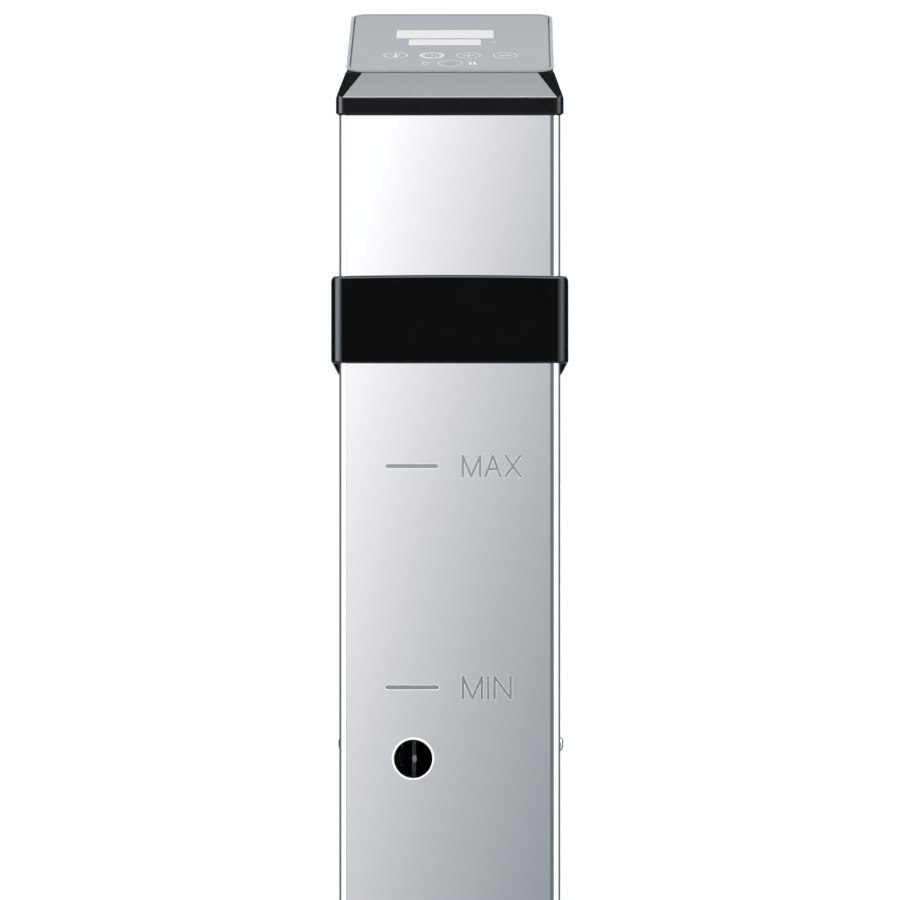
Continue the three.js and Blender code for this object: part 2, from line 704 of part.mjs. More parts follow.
piece("display_module", displayModule(), "black", panelGroup);
piece("touch_foil", plate(roundedRect(68, 32, 3, 0, fromFrontEdge(24)), -2.2, -1.5), "copper", panelGroup);
piece("touch_board", panelPlate(58, 84, 3, -9.1, -7.5), "board", panelGroup);
piece("beeper", rodZ(5.5, -14, -9.4, 22, fromFrontEdge(72), 14), "black", panelGroup);

piece("front_inlay", frontInlay(), "panel");

// The floor of the head, inside the top of the sleeve, and the four screws that hold it up.
function headFloor() {
  const outline = roundedRect(2 * INNER_X - 2 * GAP, 2 * INNER_Y - 2 * GAP, 2.9);
  outline.holes.push(new THREE.Path(roundedRect(40, 30, 3).getPoints(3)));
  const screwHoles = HEAD_SCREWS.map(([x, y]) => rodZ(1.8, 312, 316, x, y, 10));
  return cut(solid(plate(outline, 312.9, 315.3)), ...screwHoles);
}

piece("head_floor", headFloor(), "black");
HEAD_SCREWS.forEach(([x, y], i) => {
  const profile = [[0, 310.2], [2.8, 310.2], [2.8, 312.6], [1.5, 312.6], [1.5, 319.6], [0, 319.6]];
  piece(`head_screw_${i + 1}`, turned(profile, { sides: 10, x, y }), "bright");
});

// The bush in the back of the head that the mains lead comes through, and the nut inside it.
function cableGland() {
  const profile = [
    [GLAND.bore, -8],
    [GLAND.hole - GAP, -8],
    [GLAND.hole - GAP, GAP],
    [9.5, GAP],
    [9.5, 1.8],
    [8, 3.2],
    [GLAND.bore, 3.2],
    [GLAND.bore, -8],
  ];
  return turned(profile, { axis: "y", sides: 20, y: RIM.back, z: GLAND.z });
}

function glandNut() {
  const back = RIM.back - HEAD.wall - 0.5 - GAP;
  const nut = solid(rodY(9.6, back - 3.2, back, 0, GLAND.z, 6));
  return cut(nut, rodY(GLAND.hole, back - 4, back + 1, 0, GLAND.z, 20));
}

piece("cable_gland", cableGland(), "black");
piece("cable_gland_nut", glandNut(), "black");

// ---------------------------------------------------------------- collar and clamp

const FRAME_SCREWS = [
  [-17, 221],
  [17, 221],
];

// The band round the column. Its top edge is slightly crowned in front, and its sides reach lower than its
// front and run in to the column.
function clampCollar() {
  const { halfWidth, front, back, bottom, top, crown, corner } = COLLAR;
  const edge = 1.5;
  const ear = { z: 209.3, x: BODY.width / 2 + GAP, start: bottom + 0.6 };
  const face = new THREE.Shape();
  face.moveTo(-ear.x, ear.z);
  face.lineTo(ear.x, ear.z);
  face.lineTo(halfWidth, ear.start);
  face.lineTo(halfWidth, top - edge);
  face.absarc(halfWidth - edge, top - edge, edge, 0, Math.PI / 2);
  face.quadraticCurveTo(0, top + 2 * crown, -(halfWidth - edge), top);
  face.absarc(-(halfWidth - edge), top - edge, edge, Math.PI / 2, Math.PI);
  face.lineTo(-halfWidth, ear.start);
  const outline = roundedRect(2 * halfWidth, back - front, corner, 0, (front + back) / 2);
  const ring = solid(plate(outline, 205, 255)).intersect(solid(alongY(face, front - 5, back + 5, 4)));
  return cut(
    ring,
    plate(bodyOutline(GAP), 200, 260),
    block([-60, 60], [front - 1, BODY_FRONT + 1], [200, bottom]),
    ...FRAME_SCREWS.map(([x, z]) => rodY(1.9, BODY_BACK - 2, back + 1, x, z, 10)),
  );
}

// The C-shaped frame behind the collar: a fixed jaw against the column, a bridge that rests on the rim of
// the pot, and an outer leg that holds the screw.
const FRAME = {
  jawFront: 55.3,
  jawLow: 52.4,
  jawBack: 59,
  bridgeBottom: 235,
  bottom: 173,
  topHalf: 25,
  tipRadius: 13,
};

function clampFrame() {
  const { jawFront, jawLow, jawBack, bridgeBottom, bottom, topHalf, tipRadius } = FRAME;
  const top = COLLAR.top - 1.3;
  const [inside, outside] = [5, 9];
  const side = new THREE.Shape();
  side.moveTo(jawFront, top);
  side.lineTo(jawFront, 208.9);
  side.lineTo(jawLow, 208.9);
  side.lineTo(jawLow, bottom - 2);
  side.lineTo(jawBack, bottom - 2);
  side.lineTo(jawBack, bridgeBottom - inside);
  side.absarc(jawBack + inside, bridgeBottom - inside, inside, Math.PI, Math.PI / 2, true);
  side.lineTo(CLAMP.legFront - inside, bridgeBottom);
  side.absarc(CLAMP.legFront - inside, bridgeBottom - inside, inside, Math.PI / 2, 0, true);
  side.lineTo(CLAMP.legFront, bottom - 2);
  side.lineTo(CLAMP.legBack, bottom - 2);
  side.lineTo(CLAMP.legBack, top - outside);
  side.absarc(CLAMP.legBack - outside, top - outside, outside, 0, Math.PI / 2);
  const tongue = new THREE.Shape();
  tongue.moveTo(topHalf, top + 1);
  tongue.lineTo(-topHalf, top + 1);
  tongue.lineTo(-topHalf, bridgeBottom - 8);
  tongue.lineTo(-tipRadius, CLAMP.z);
  tongue.absarc(0, CLAMP.z, tipRadius, Math.PI, 2 * Math.PI);
  tongue.lineTo(topHalf, bridgeBottom - 8);
  const across = solid(alongX(side, -topHalf - 5, topHalf + 5, 3));
  const frame = across.intersect(solid(alongY(tongue, 50, 100, 5)));
  const screwHole = rodY(7.9, CLAMP.legFront - 2, CLAMP.legBack + 2, 0, CLAMP.z, 20);
  const bolts = FRAME_SCREWS.map(([x, z]) => rodY(1.9, 54, 70, x, z, 10));
  return cut(frame, screwHole, ...bolts);
}

function frameScrew([x, z]) {
  const profile = [[0, 52.6], [1.6, 52.6], [1.6, 59.3], [3.2, 59.3], [3, 60.6], [1.8, 61.3], [0, 61.3]];
  return turned(profile, { axis: "y", sides: 12, x, z });
}

piece("clamp_collar", clampCollar(), "black");
piece("clamp_frame", clampFrame(), "black");
piece("clamp_frame_screw_left", frameScrew(FRAME_SCREWS[0]), "bright");
piece("clamp_frame_screw_right", frameScrew(FRAME_SCREWS[1]), "bright");

function jawPad() {
  const shape = roundedRect(20, 34, 6, 0, CLAMP.z + 8);
  return alongY(shape, FRAME.jawBack + GAP, CLAMP.jawFace, 3);
}

piece("jaw_pad", jawPad(), "rubber");
const insert = solid(rodY(7.5, CLAMP.legFront + 0.4, CLAMP.legBack - 0.4, 0, CLAMP.z, 20));
const insertBore = rodY(CLAMP.screwRadius + GAP, CLAMP.legFront - 1, CLAMP.legBack + 1, 0, CLAMP.z, 20);
piece("thread_insert", cut(insert, insertBore), "brass");

// The pad that presses on the pot: a cup on the end of the screw, faced with rubber.
const PAD = { radius: 12, facing: 2, cup: 5, socket: 3.4 };
const cupFront = CLAMP.padFace + PAD.facing + GAP;
const cupBack = cupFront + PAD.cup;

function pressureCup() {
  const profile = [
    [0, cupFront],
    [PAD.radius, cupFront],
    [PAD.radius, cupFront + 2],
    [PAD.radius - 3, cupBack],
    [CLAMP.screwRadius + GAP, cupBack],
    [CLAMP.screwRadius + GAP, cupBack - PAD.socket],
    [0, cupBack - PAD.socket],
  ];
  return turned(profile, { axis: "y", sides: 24, z: CLAMP.z });
}

const facing = rodY(PAD.radius - 0.6, CLAMP.padFace, CLAMP.padFace + PAD.facing, 0, CLAMP.z, 24);
piece("pad_facing", facing, "rubber");
piece("pressure_cup", pressureCup(), "black");

const KNOB = { front: 106.5, back: 122, radius: 17, hub: 8.5, hubLength: 4, lobes: 6 };
const screwTip = cupBack - PAD.socket + GAP;
piece("clamp_screw", rodY(CLAMP.screwRadius, screwTip, KNOB.front + 9, 0, CLAMP.z, 20), "bright");

// A six-lobed grip on a round hub, with a blind bore for the screw and a shallow seat for its cap.
function clampKnob() {
  const outline = new THREE.Shape();
  const steps = 48;
  for (let i = 0; i < steps; i++) {
    const angle = (i * 2 * Math.PI) / steps;
    const r = KNOB.radius - 1.6 * (1 - Math.cos(KNOB.lobes * angle)) / 2 - 0.4;
    const [x, z] = [r * Math.cos(angle), CLAMP.z + r * Math.sin(angle)];
    if (i === 0) outline.moveTo(x, z);
    else outline.lineTo(x, z);
  }
  const grip = alongY(outline, KNOB.front + KNOB.hubLength, KNOB.back);
  const hub = rodY(KNOB.hub, KNOB.front, KNOB.front + KNOB.hubLength + 1, 0, CLAMP.z, 20);
  return cut(
    joined(grip, hub),
    rodY(CLAMP.screwRadius + GAP, KNOB.front - 1, KNOB.front + 9.5, 0, CLAMP.z, 20),
    rodY(10.3, KNOB.back - 1.2, KNOB.back + 1, 0, CLAMP.z, 24),
  );
}

piece("clamp_knob", clampKnob(), "black");
piece("knob_cap", rodY(10, KNOB.back - 0.9, KNOB.back, 0, CLAMP.z, 24), "silver");

export default circulator;
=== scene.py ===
"""The looks of the sous vide circulator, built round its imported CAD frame.

Shapes are written in millimetres in the frame's own axes (+Z up, front towards -Y) and scaled to metres when
a mesh is made. Every piece that shows on the outside is rebuilt here with rounded edges, seams, threads and
printed or engraved marks. The inner pieces keep their CAD shape and get a material of their own.
"""
import json
import math

import bmesh
import bpy
from mathutils import Matrix, Vector

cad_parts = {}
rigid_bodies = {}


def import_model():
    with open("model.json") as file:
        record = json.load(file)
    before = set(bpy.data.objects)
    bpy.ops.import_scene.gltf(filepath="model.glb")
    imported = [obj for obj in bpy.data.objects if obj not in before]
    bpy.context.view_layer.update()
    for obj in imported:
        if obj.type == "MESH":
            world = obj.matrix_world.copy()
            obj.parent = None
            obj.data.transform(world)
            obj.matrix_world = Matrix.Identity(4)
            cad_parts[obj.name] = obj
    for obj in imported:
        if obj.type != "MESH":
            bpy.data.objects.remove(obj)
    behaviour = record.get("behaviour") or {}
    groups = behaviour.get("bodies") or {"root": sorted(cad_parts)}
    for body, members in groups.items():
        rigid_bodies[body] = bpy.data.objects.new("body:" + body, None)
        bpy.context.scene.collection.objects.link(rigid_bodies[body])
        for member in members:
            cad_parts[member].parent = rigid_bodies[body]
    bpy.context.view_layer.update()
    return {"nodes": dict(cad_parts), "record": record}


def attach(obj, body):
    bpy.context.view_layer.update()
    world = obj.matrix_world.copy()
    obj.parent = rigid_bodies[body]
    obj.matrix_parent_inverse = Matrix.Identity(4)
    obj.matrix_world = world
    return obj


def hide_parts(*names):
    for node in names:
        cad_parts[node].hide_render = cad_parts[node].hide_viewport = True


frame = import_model()

# ---- driving dimensions, in mm

MM = 0.001
# The column: half sizes of its outside, corner radius and sheet thickness.
BODY_X = 44.0
BODY_Y = 52.0
BODY_CORNER = 4.2
WALL = 0.8
SKIRT_TOP = 230.4
SLEEVE_BOTTOM = 230.7
SLEEVE_TOP = 315.4
SIDE_SCREW_Z = 60
# The head: its rim, and the tilted panel on it.
RIM_X = 45.3
RIM_Y = 53.3
RIM_LOW = 312.1
RIM_TOP = 318.8
HEAD_BACK_X = 44.25
RIDGE_X = 41.2
PANEL_TILT = math.radians(17.2)
PANEL_FRONT = (-42.3, 330.9)
PANEL_SIZE = (83.0, 97.8)
PANEL_CORNER = 7.0
# The panel is sunk into the head, and its plate sits a little below the top of the bezel round it.
SEAT = 1.5
PLATE_INSET = 1.75
PLATE_TOP = -0.18
GLAND_Z = 336
OUTLET = (-14.5, 56.5)
OUTLET_RADIUS = 7.6
BAR_X = -14.2
COLLAR = {"x": 47.2, "y": 55.0, "corner": 6.1, "bottom": 213.6, "top": 248.3, "crown": 0.5, "shoulder": 1.5}
# The collar's sides reach lower than its front, and lean in towards the steel below it.
EAR = {"front": -48.0, "from": 215.6, "bend": 214.2, "low": 209.3, "lean": 2.6}
# The clamp: its screw, the frame's own screws in X and Z, and how far up and down the frame reaches.
CLAMP_Z = 186.0
CLAMP_AXIS = (0, 0, CLAMP_Z)
JAW_Z = CLAMP_Z + 8
FRAME_SCREW = (17, 221)
FRAME_TOP = COLLAR["top"] - 0.4
FRAME_LOW = 173.0
BRIDGE_Z = 235.0
PITCH = 2.0
CAMERA_DISTANCE = 2435.0
CAMERA_HEIGHT = 179.2
CAMERA_SIDE = 21.5
AIM_X = 0.12
FOCAL_MM = 245.2

# ---- outlines and solids


def arc(cx, cy, r, start, end, steps=8):
    """Points on an arc, from one angle in degrees to another."""
    angles = [math.radians(start + (end - start) * i / steps) for i in range(steps + 1)]
    return [(cx + r * math.cos(a), cy + r * math.sin(a)) for a in angles]


def rounded_rect(hx, hy, r, steps=6, cx=0.0, cy=0.0):
    """A rectangle of half sizes hx and hy whose corners are quarter circles."""
    points = []
    for quarter, (sx, sy) in enumerate(((1, 1), (-1, 1), (-1, -1), (1, -1))):
        points += arc(cx + sx * (hx - r), cy + sy * (hy - r), r, 90 * quarter, 90 * quarter + 90, steps)
    return points


def creased_rect(hx, hy, r, crease, steps=8):
    """A rectangle whose corners are arcs that meet the front and back faces at a slight crease."""
    lift = 90 - crease
    reach = hy - r * math.sin(math.radians(lift))
    spans = ((1, 1, 0, lift), (-1, 1, 180 - lift, 180), (-1, -1, 180, 180 + lift), (1, -1, 360 - lift, 360))
    points = []
    for sx, sy, start, end in spans:
        points += arc(sx * (hx - r), sy * reach, r, start, end, steps)
    return points


def stadium(a, b, r, steps):
    """The outline of a stroke from a to b, with round ends of radius r."""
    way = math.degrees(math.atan2(b[1] - a[1], b[0] - a[0]))
    return arc(*b, r, way - 90, way + 90, steps) + arc(*a, r, way + 90, way + 270, steps)


def mirrored(half):
    """An outline given by its right half, closed by the same points on the left."""
    return [*half, *[(-x, y) for x, y in reversed(half)]]


def divided(outline):
    """The same outline with extra points along its long sides."""
    points = []
    for (ax, ay), (bx, by) in zip(outline, outline[1:] + outline[:1]):
        parts = 24 if math.hypot(bx - ax, by - ay) > 20 else 1
        points += [(ax + (bx - ax) * i / parts, ay + (by - ay) * i / parts) for i in range(parts)]
    return points


def at_height(outline, z):
    return [(x, y, z) for x, y in outline]


def quarter_turn(steps):
    """(cosine, sine) from 0 to 90 degrees."""
    return arc(0, 0, 1, 0, 90, steps)


def on_axis(axis, u, v, t):
    """The point at t along an axis, with u and v along the other two, in order."""
    return {"x": (t, u, v), "y": (u, t, v), "z": (u, v, t)}[axis]


def loft(rings, closed=False):
    """Points and faces of a skin over rings of equally many points, capped unless it closes on itself."""
    n = len(rings[0])
    verts = [p for ring in rings for p in ring]
    faces = []
    for i in range(len(rings) if closed else len(rings) - 1):
        a, b = i * n, (i + 1) % len(rings) * n
        faces += [(a + j, a + (j + 1) % n, b + (j + 1) % n, b + j) for j in range(n)]
    if not closed:
        faces.append(tuple(reversed(range(n))))
        faces.append(tuple((len(rings) - 1) * n + j for j in range(n)))
    return verts, faces


def several(shapes):
    """Many (points, faces) as one."""
    verts, faces = [], []
    for v, f in shapes:
        faces += [tuple(i + len(verts) for i in face) for face in f]
        verts += v
    return verts, faces


def moved(shape, place):
    """A shape whose every point is taken through a function of x, y and z."""
    return [place(*p) for p in shape[0]], shape[1]


def stacked(outline, profile, closed=False):
    """A skin over (inset, height) pairs, whose outline is a function of the inset."""
    return loft([at_height(outline(inset), z) for inset, z in profile], closed)


def prism(points, axis, low, high):
    """A polygon given in the two other axes, run from low to high along one axis."""
    return loft([[on_axis(axis, u, v, t) for u, v in points] for t in (low, high)])


def fillet(radius, height, top=True, steps=4):
    """(inset, height) pairs that round an edge off, from the flank in to the face at that height."""
    sign = 1 if top else -1
    pairs = [(radius * (1 - c), height - sign * radius * (1 - s)) for c, s in quarter_turn(steps)]
    return pairs if top else pairs[::-1]


def rect_prism(hx, hy, r, z0, z1, edge, steps=6, cx=0.0, cy=0.0):
    """A rounded rectangle from z0 to z1 with both rims rounded by edge."""
    profile = fillet(edge, z0, top=False) + fillet(edge, z1)
    return stacked(lambda d: rounded_rect(hx - d, hy - d, max(r - d, 0.05), steps, cx, cy), profile)


def turned(profile, axis="y", centre=(0, 0, 0), sides=48, closed=False):
    """(radius, place) pairs turned about an axis through centre."""
    rings = []
    for r, t in profile:
        ring = [on_axis(axis, u, v, t) for u, v in arc(0, 0, r, 0, 360, sides)[:-1]]
        rings.append([tuple(p + c for p, c in zip(point, centre)) for point in ring])
    return loft(rings, closed)


# ---- pieces


SLOTS = {part["node"]: part["material_slot"] for part in frame["record"]["subparts"]}


def make(name, verts, faces, materials, node=None, body="circulator", slot=None):
    """A new piece from points in millimetres, with its faces turned outwards. It stands for a CAD node, which
    it hides, or stands for none. The slot argument is not used."""
    mesh = bpy.data.meshes.new(name)
    mesh.from_pydata([Vector(v) * MM for v in verts], [], faces)
    bm = bmesh.new()
    bm.from_mesh(mesh)
    bmesh.ops.recalc_face_normals(bm, faces=bm.faces)
    bm.to_mesh(mesh)
    bm.free()
    for material in materials if isinstance(materials, (list, tuple)) else [materials]:
        mesh.materials.append(material)
    piece = bpy.data.objects.new(name, mesh)
    bpy.context.scene.collection.objects.link(piece)
    if body:
        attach(piece, body)
    if node:
        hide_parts(node)
    return piece


def modify(piece, name, kind, **settings):
    mod = piece.modifiers.new(name, kind)
    for key, value in settings.items():
        setattr(mod, key, value)


def bake(piece):
    """Applies a piece's modifiers to its mesh."""
    bpy.context.view_layer.update()
    seen = piece.evaluated_get(bpy.context.evaluated_depsgraph_get())
    mesh = bpy.data.meshes.new_from_object(seen)
    piece.modifiers.clear()
    piece.data = mesh


def carve(piece, shape, material, operation="DIFFERENCE", floor=None):
    """Cuts a shape out of a piece, or keeps what they share, or joins them. The new faces take the material,
    and those at the back of a cut made from the front may take another."""
    tool = make("tool", *shape, [material, floor] if floor else material, body=None)
    if floor:
        for face in tool.data.polygons:
            face.material_index = 1 if face.normal.y > 0.999 else 0
    cut = {"object": tool, "operation": operation, "solver": "EXACT", "use_self": True}
    modify(piece, "carve", "BOOLEAN", material_mode="TRANSFER", **cut)
    bake(piece)
    bpy.data.objects.remove(tool)


def round_edges(piece, width, segments, limit=30):
    """Rounds every edge that is sharper than a limit in degrees."""
    edges = {"limit_method": "ANGLE", "angle_limit": math.radians(limit)}
    modify(piece, "round", "BEVEL", width=width * MM, segments=segments, **edges)
    bake(piece)


def soften(piece, sharp=35):
    """Shades a piece smooth between the edges that are sharper than an angle in degrees."""
    piece.data.shade_smooth()
    piece.data.set_sharp_from_angle(angle=math.radians(sharp))
    modify(piece, "normals", "WEIGHTED_NORMAL", keep_sharp=True, weight=80)


# ---- materials


def connect(tree, socket, value):
    """Sets an input to a value, or links it to another node's output."""
    if isinstance(value, bpy.types.NodeSocket):
        tree.links.new(value, socket)
    else:
        socket.default_value = value


def set_inputs(tree, node, **inputs):
    """Connects inputs that are named with _ for a space."""
    for name, value in inputs.items():
        connect(tree, node.inputs[name.replace("_", " ")], value)
    return node


def add_node(tree, kind, **inputs):
    return set_inputs(tree, tree.nodes.new(kind), **inputs)


def math_node(tree, operation, *values):
    """The result of one Math node."""
    made = tree.nodes.new("ShaderNodeMath")
    made.operation = operation
    for socket, value in zip(made.inputs, values):
        connect(tree, socket, value)
    return made.outputs[0]


def map_range(tree, value, start, end, low=0.0, high=1.0):
    """A value that runs from low to high while another runs from start to end."""
    limits = {"From_Min": start, "From_Max": end, "To_Min": low, "To_Max": high}
    return add_node(tree, "ShaderNodeMapRange", Value=value, **limits).outputs["Result"]


def two_colors(tree, value, *stops):
    """A colour that runs between two (place, colour) stops."""
    made = add_node(tree, "ShaderNodeValToRGB", Fac=value)
    for stop, (place, color) in zip(made.color_ramp.elements, stops):
        stop.position = place
        stop.color = (*color, 1)
    return made.outputs["Color"]


def object_place(tree):
    return tree.nodes.new("ShaderNodeTexCoord").outputs["Object"]


def finish(name, color, roughness, *, tint=None, painted_light_ramp=None, gloss=None, bump=None, **constants):
    """A Principled material with detail in the piece's own coordinates in metres. Tint, gloss and bump each
    start with the settings of a noise of their own. Tint multiplies the colour by low to high, as the painted
    light ramp does between two places along an axis to paint light and shade as a gradient; gloss is a
    roughness from low to high."""
    material = bpy.data.materials.new(name)
    material.use_nodes = True
    tree = material.node_tree
    shader = tree.nodes["Principled BSDF"]
    set_inputs(tree, shader, Base_Color=(*color, 1), Roughness=roughness, **constants)
    place = object_place(tree)

    def noise(scale, detail, stretch=(1, 1, 1), rough=0.55):
        grain = add_node(tree, "ShaderNodeMapping", Scale=stretch, Vector=place).outputs["Vector"]
        settings = {"Scale": scale, "Detail": detail, "Roughness": rough, "Vector": grain}
        return add_node(tree, "ShaderNodeTexNoise", **settings).outputs["Fac"]

    if tint:
        settings, low, high = tint
        stops = [(at, [min(c * share, 1) for c in color]) for at, share in ((0.3, low), (0.7, high))]
        tinted = two_colors(tree, noise(*settings), *stops)
        set_inputs(tree, shader, Base_Color=tinted)
    # Painted light: the colour is scaled from low to high between two places along one axis, a painted
    # gradient of light and shade.
    if painted_light_ramp:
        axis, *limits = painted_light_ramp
        split = add_node(tree, "ShaderNodeSeparateXYZ", Vector=place)
        mixed = tree.nodes.new("ShaderNodeVectorMath")
        mixed.operation = "SCALE"
        tree.links.new(tinted, mixed.inputs[0])
        set_inputs(tree, mixed, Scale=map_range(tree, split.outputs[axis], *limits))
        set_inputs(tree, shader, Base_Color=mixed.outputs[0])
    if gloss:
        settings, low, high = gloss
        set_inputs(tree, shader, Roughness=map_range(tree, noise(*settings), 0.3, 0.7, low, high))
    if bump:
        settings, depth_mm, strength = bump
        size = {"Distance": depth_mm * MM, "Strength": strength}
        raised = add_node(tree, "ShaderNodeBump", Height=noise(*settings), **size)
        set_inputs(tree, shader, Normal=raised.outputs["Normal"])
    return material


# How noise is stretched into a grain that runs along one axis.
ALONG_X = (0.06, 1, 1)
FINE_X = (0.05, 1, 1)
ALONG_Y = (1, 0.1, 1)
ALONG_Z = (1, 1, 0.1)
FINE_Z = (1, 1, 0.05)
BLOCKS = (260, 1, (1, 1, 0.3), 0.2)

STEEL = finish(
    "sheet_steel", (0.8, 0.81, 0.83), 0.2, Metallic=1.0,
    tint=((9, 2), 0.985, 1.01), gloss=((60, 4), 0.05, 0.07), bump=((1400, 2, (1, 1, 0.02)), 0.0003, 0.1),
)
# The floor of an engraved mark, and its flared sides.
ETCHED = finish(
    "etched_steel", (0.29, 0.3, 0.315), 0.5, Metallic=0.85,
    tint=((2500, 2), 0.9, 1.08), bump=((4000, 2), 0.01, 0.4),
)
ETCHED_EDGE = finish(
    "etched_edge", (0.8, 0.805, 0.81), 0.55, Metallic=0.1,
    tint=((900, 2), 0.97, 1.0), bump=((2500, 2), 0.0008, 0.2),
)
BRIGHT = finish(
    "bright_steel", (0.86, 0.87, 0.88), 0.1, Metallic=1.0,
    tint=((200, 2), 0.97, 1.02), gloss=((700, 3), 0.06, 0.14),
)
EYELET = finish(
    "eyelet_steel", (0.95, 0.95, 0.95), 0.3, Metallic=0.4,
    tint=((200, 2), 0.98, 1.01), gloss=((700, 3), 0.27, 0.33),
)
MILL = finish(
    "mill_steel", (0.55, 0.56, 0.58), 0.38, Metallic=1.0,
    tint=((300, 4), 0.88, 1.08), gloss=((900, 3, ALONG_Z), 0.3, 0.45), bump=((1500, 2), 0.01, 0.2),
)
GLOSS_BLACK = finish(
    "gloss_black_plastic", (0.0036, 0.004, 0.0044), 0.2,
    tint=((40, 3), 0.85, 1.2), gloss=((120, 4), 0.17, 0.23), bump=((500, 2), 0.001, 0.1),
)
SATIN_BLACK = finish(
    "satin_black_plastic", (0.0078, 0.0082, 0.009), 0.2,
    tint=((50, 3), 0.85, 1.2), gloss=((300, 3), 0.17, 0.23), bump=((3000, 2), 0.003, 0.2),
)
GRAINED_BLACK = finish(
    "grained_black_plastic", (0.011, 0.0115, 0.0125), 0.45, Specular_IOR_Level=0.4,
    tint=((60, 3), 0.85, 1.25), gloss=((700, 3), 0.38, 0.52), bump=((2200, 3), 0.03, 0.5),
)
BAR_GREY = finish(
    "bar_grey_plastic", (0.022, 0.026, 0.028), 0.4, Specular_IOR_Level=0.4,
    tint=((60, 3), 0.9, 1.15), bump=((2500, 2), 0.005, 0.3),
)
# A lighter grey than the black bar, a painted highlight on the boss.
RIVET_HIGHLIGHT_GREY = finish(
    "rivet_painted_highlight_grey", (0.17, 0.18, 0.195), 0.45,
    tint=((900, 3), 0.85, 1.1), bump=((2500, 2), 0.005, 0.3),
)
# The plastic inside the pump and the outlet's tube is painted near-black with almost no reflection: painted
# shade for the deep shade behind the outlet.
PAINTED_SHADE_BLACK = finish(
    "painted_shade_black_plastic", (0.0035, 0.0037, 0.004), 0.6, Specular_IOR_Level=0.05,
    tint=((60, 3), 0.8, 1.2), bump=((900, 2), 0.01, 0.3),
)
RUBBER = finish(
    "black_rubber", (0.014, 0.014, 0.015), 0.75, Specular_IOR_Level=0.3,
    tint=((90, 4), 0.8, 1.3), gloss=((600, 3), 0.65, 0.85), bump=((1800, 4), 0.03, 0.5),
)
# The panel grey is painted lighter towards its front edge and darker towards its back: a painted gradient of
# light.
PANEL = finish(
    "panel_grey", (0.35, 0.36, 0.373), 0.22, painted_light_ramp=("Y", 0.05, -0.042, 0.93, 1.05),
    tint=((900, 3, ALONG_X), 0.985, 1.015), gloss=((80, 3), 0.2, 0.26), bump=((2600, 2, FINE_X), 0.002, 0.1),
)
# The inlay grey is painted lighter towards its lower front edge: a painted gradient of light.
INLAY = finish(
    "inlay_grey", (0.39, 0.407, 0.43), 0.4, Specular_IOR_Level=0.15, painted_light_ramp=("Y", -0.042, -0.053, 0.94, 1.05),
    tint=((900, 3, ALONG_X), 0.985, 1.015), gloss=((80, 3), 0.26, 0.34), bump=((2600, 2, FINE_X), 0.002, 0.1),
)
# A painted highlight: the inlay's chamfered rim in light grey, for the light line along its edges.
INLAY_EDGE_HIGHLIGHT = finish("inlay_painted_edge_highlight", (0.74, 0.75, 0.765), 0.3, tint=((700, 2), 0.95, 1.05))
SILVER = finish(
    "silver_trim", (0.46, 0.468, 0.477), 0.35, tint=((300, 3), 0.96, 1.03), gloss=((500, 3), 0.3, 0.4),
)
LENS = finish(
    "display_lens", (0.86, 0.85, 0.845), 0.07, Specular_IOR_Level=0.3,
    tint=((150, 2), 0.985, 1.01), gloss=((100, 2), 0.05, 0.09),
)
PRINT = finish("printed_white", (0.8, 0.81, 0.82), 0.4, tint=((2500, 2), 0.94, 1.04))
PRINT_BRIGHT = finish("printed_bright", (0.95, 0.95, 0.95), 0.4, tint=((2500, 2), 0.97, 1.02))
PRINT_RED = finish("printed_red", (0.34, 0.25, 0.26), 0.4, tint=((2500, 2), 0.94, 1.06))
BOARD = finish(
    "circuit_board", (0.02, 0.12, 0.05), 0.35,
    tint=(BLOCKS, 0.6, 1.7), gloss=((500, 2), 0.3, 0.5), bump=(BLOCKS, 0.03, 0.4),
)
BRASS = finish(
    "brass", (0.62, 0.44, 0.18), 0.28, Metallic=1.0,
    tint=((300, 3), 0.88, 1.08), gloss=((900, 3), 0.2, 0.36), bump=((1500, 2, ALONG_Y), 0.008, 0.25),
)
WHITE = finish(
    "white_plastic", (0.72, 0.71, 0.67), 0.45,
    tint=((120, 3), 0.92, 1.04), gloss=((500, 3), 0.38, 0.5), bump=((2000, 2), 0.01, 0.2),
)
COPPER = finish(
    "copper_winding", (0.55, 0.24, 0.12), 0.3, Metallic=1.0,
    tint=((500, 3, FINE_Z), 0.6, 1.2), bump=((900, 2, (1, 1, 0.03)), 0.1, 0.6),
)
ALUMINIUM = finish(
    "aluminium", (0.62, 0.63, 0.64), 0.35, Metallic=1.0,
    tint=((400, 3), 0.92, 1.05), bump=((1800, 2, FINE_Z), 0.01, 0.3),
)

# ---- the steel column


def sheet_tube(z0, z1, hem):
    """A sheet-steel tube with rounded corners. A hem adds a fine line a little above its lower edge."""
    fold = [(0.0, z0 + 1.0), (0.012, z0 + 1.15), (0.0, z0 + 1.3)] if hem else []
    outside = [(0.25, z0), (0.07, z0 + 0.07), (0.0, z0 + 0.25), *fold, (0.0, z1 - 0.2), (0.15, z1)]
    inside = [(WALL - 0.15, z1), (WALL, z1 - 0.2), (WALL, z0 + 0.25), (WALL - 0.2, z0)]
    return stacked(lambda d: rounded_rect(BODY_X - d, BODY_Y - d, BODY_CORNER - d, 8), outside + inside, True)


def capsule(a, b, radius, flare, depth, steps=8):
    """A cutter with flared sides for one engraved stroke on the front, from a to b in X and Z."""
    proud = 0.3
    ends = ((-BODY_Y - proud, radius + flare * (1 + proud / depth)), (-BODY_Y + depth, radius))
    return loft([[(x, y, z) for x, z in stadium(a, b, r, steps)] for y, r in ends])


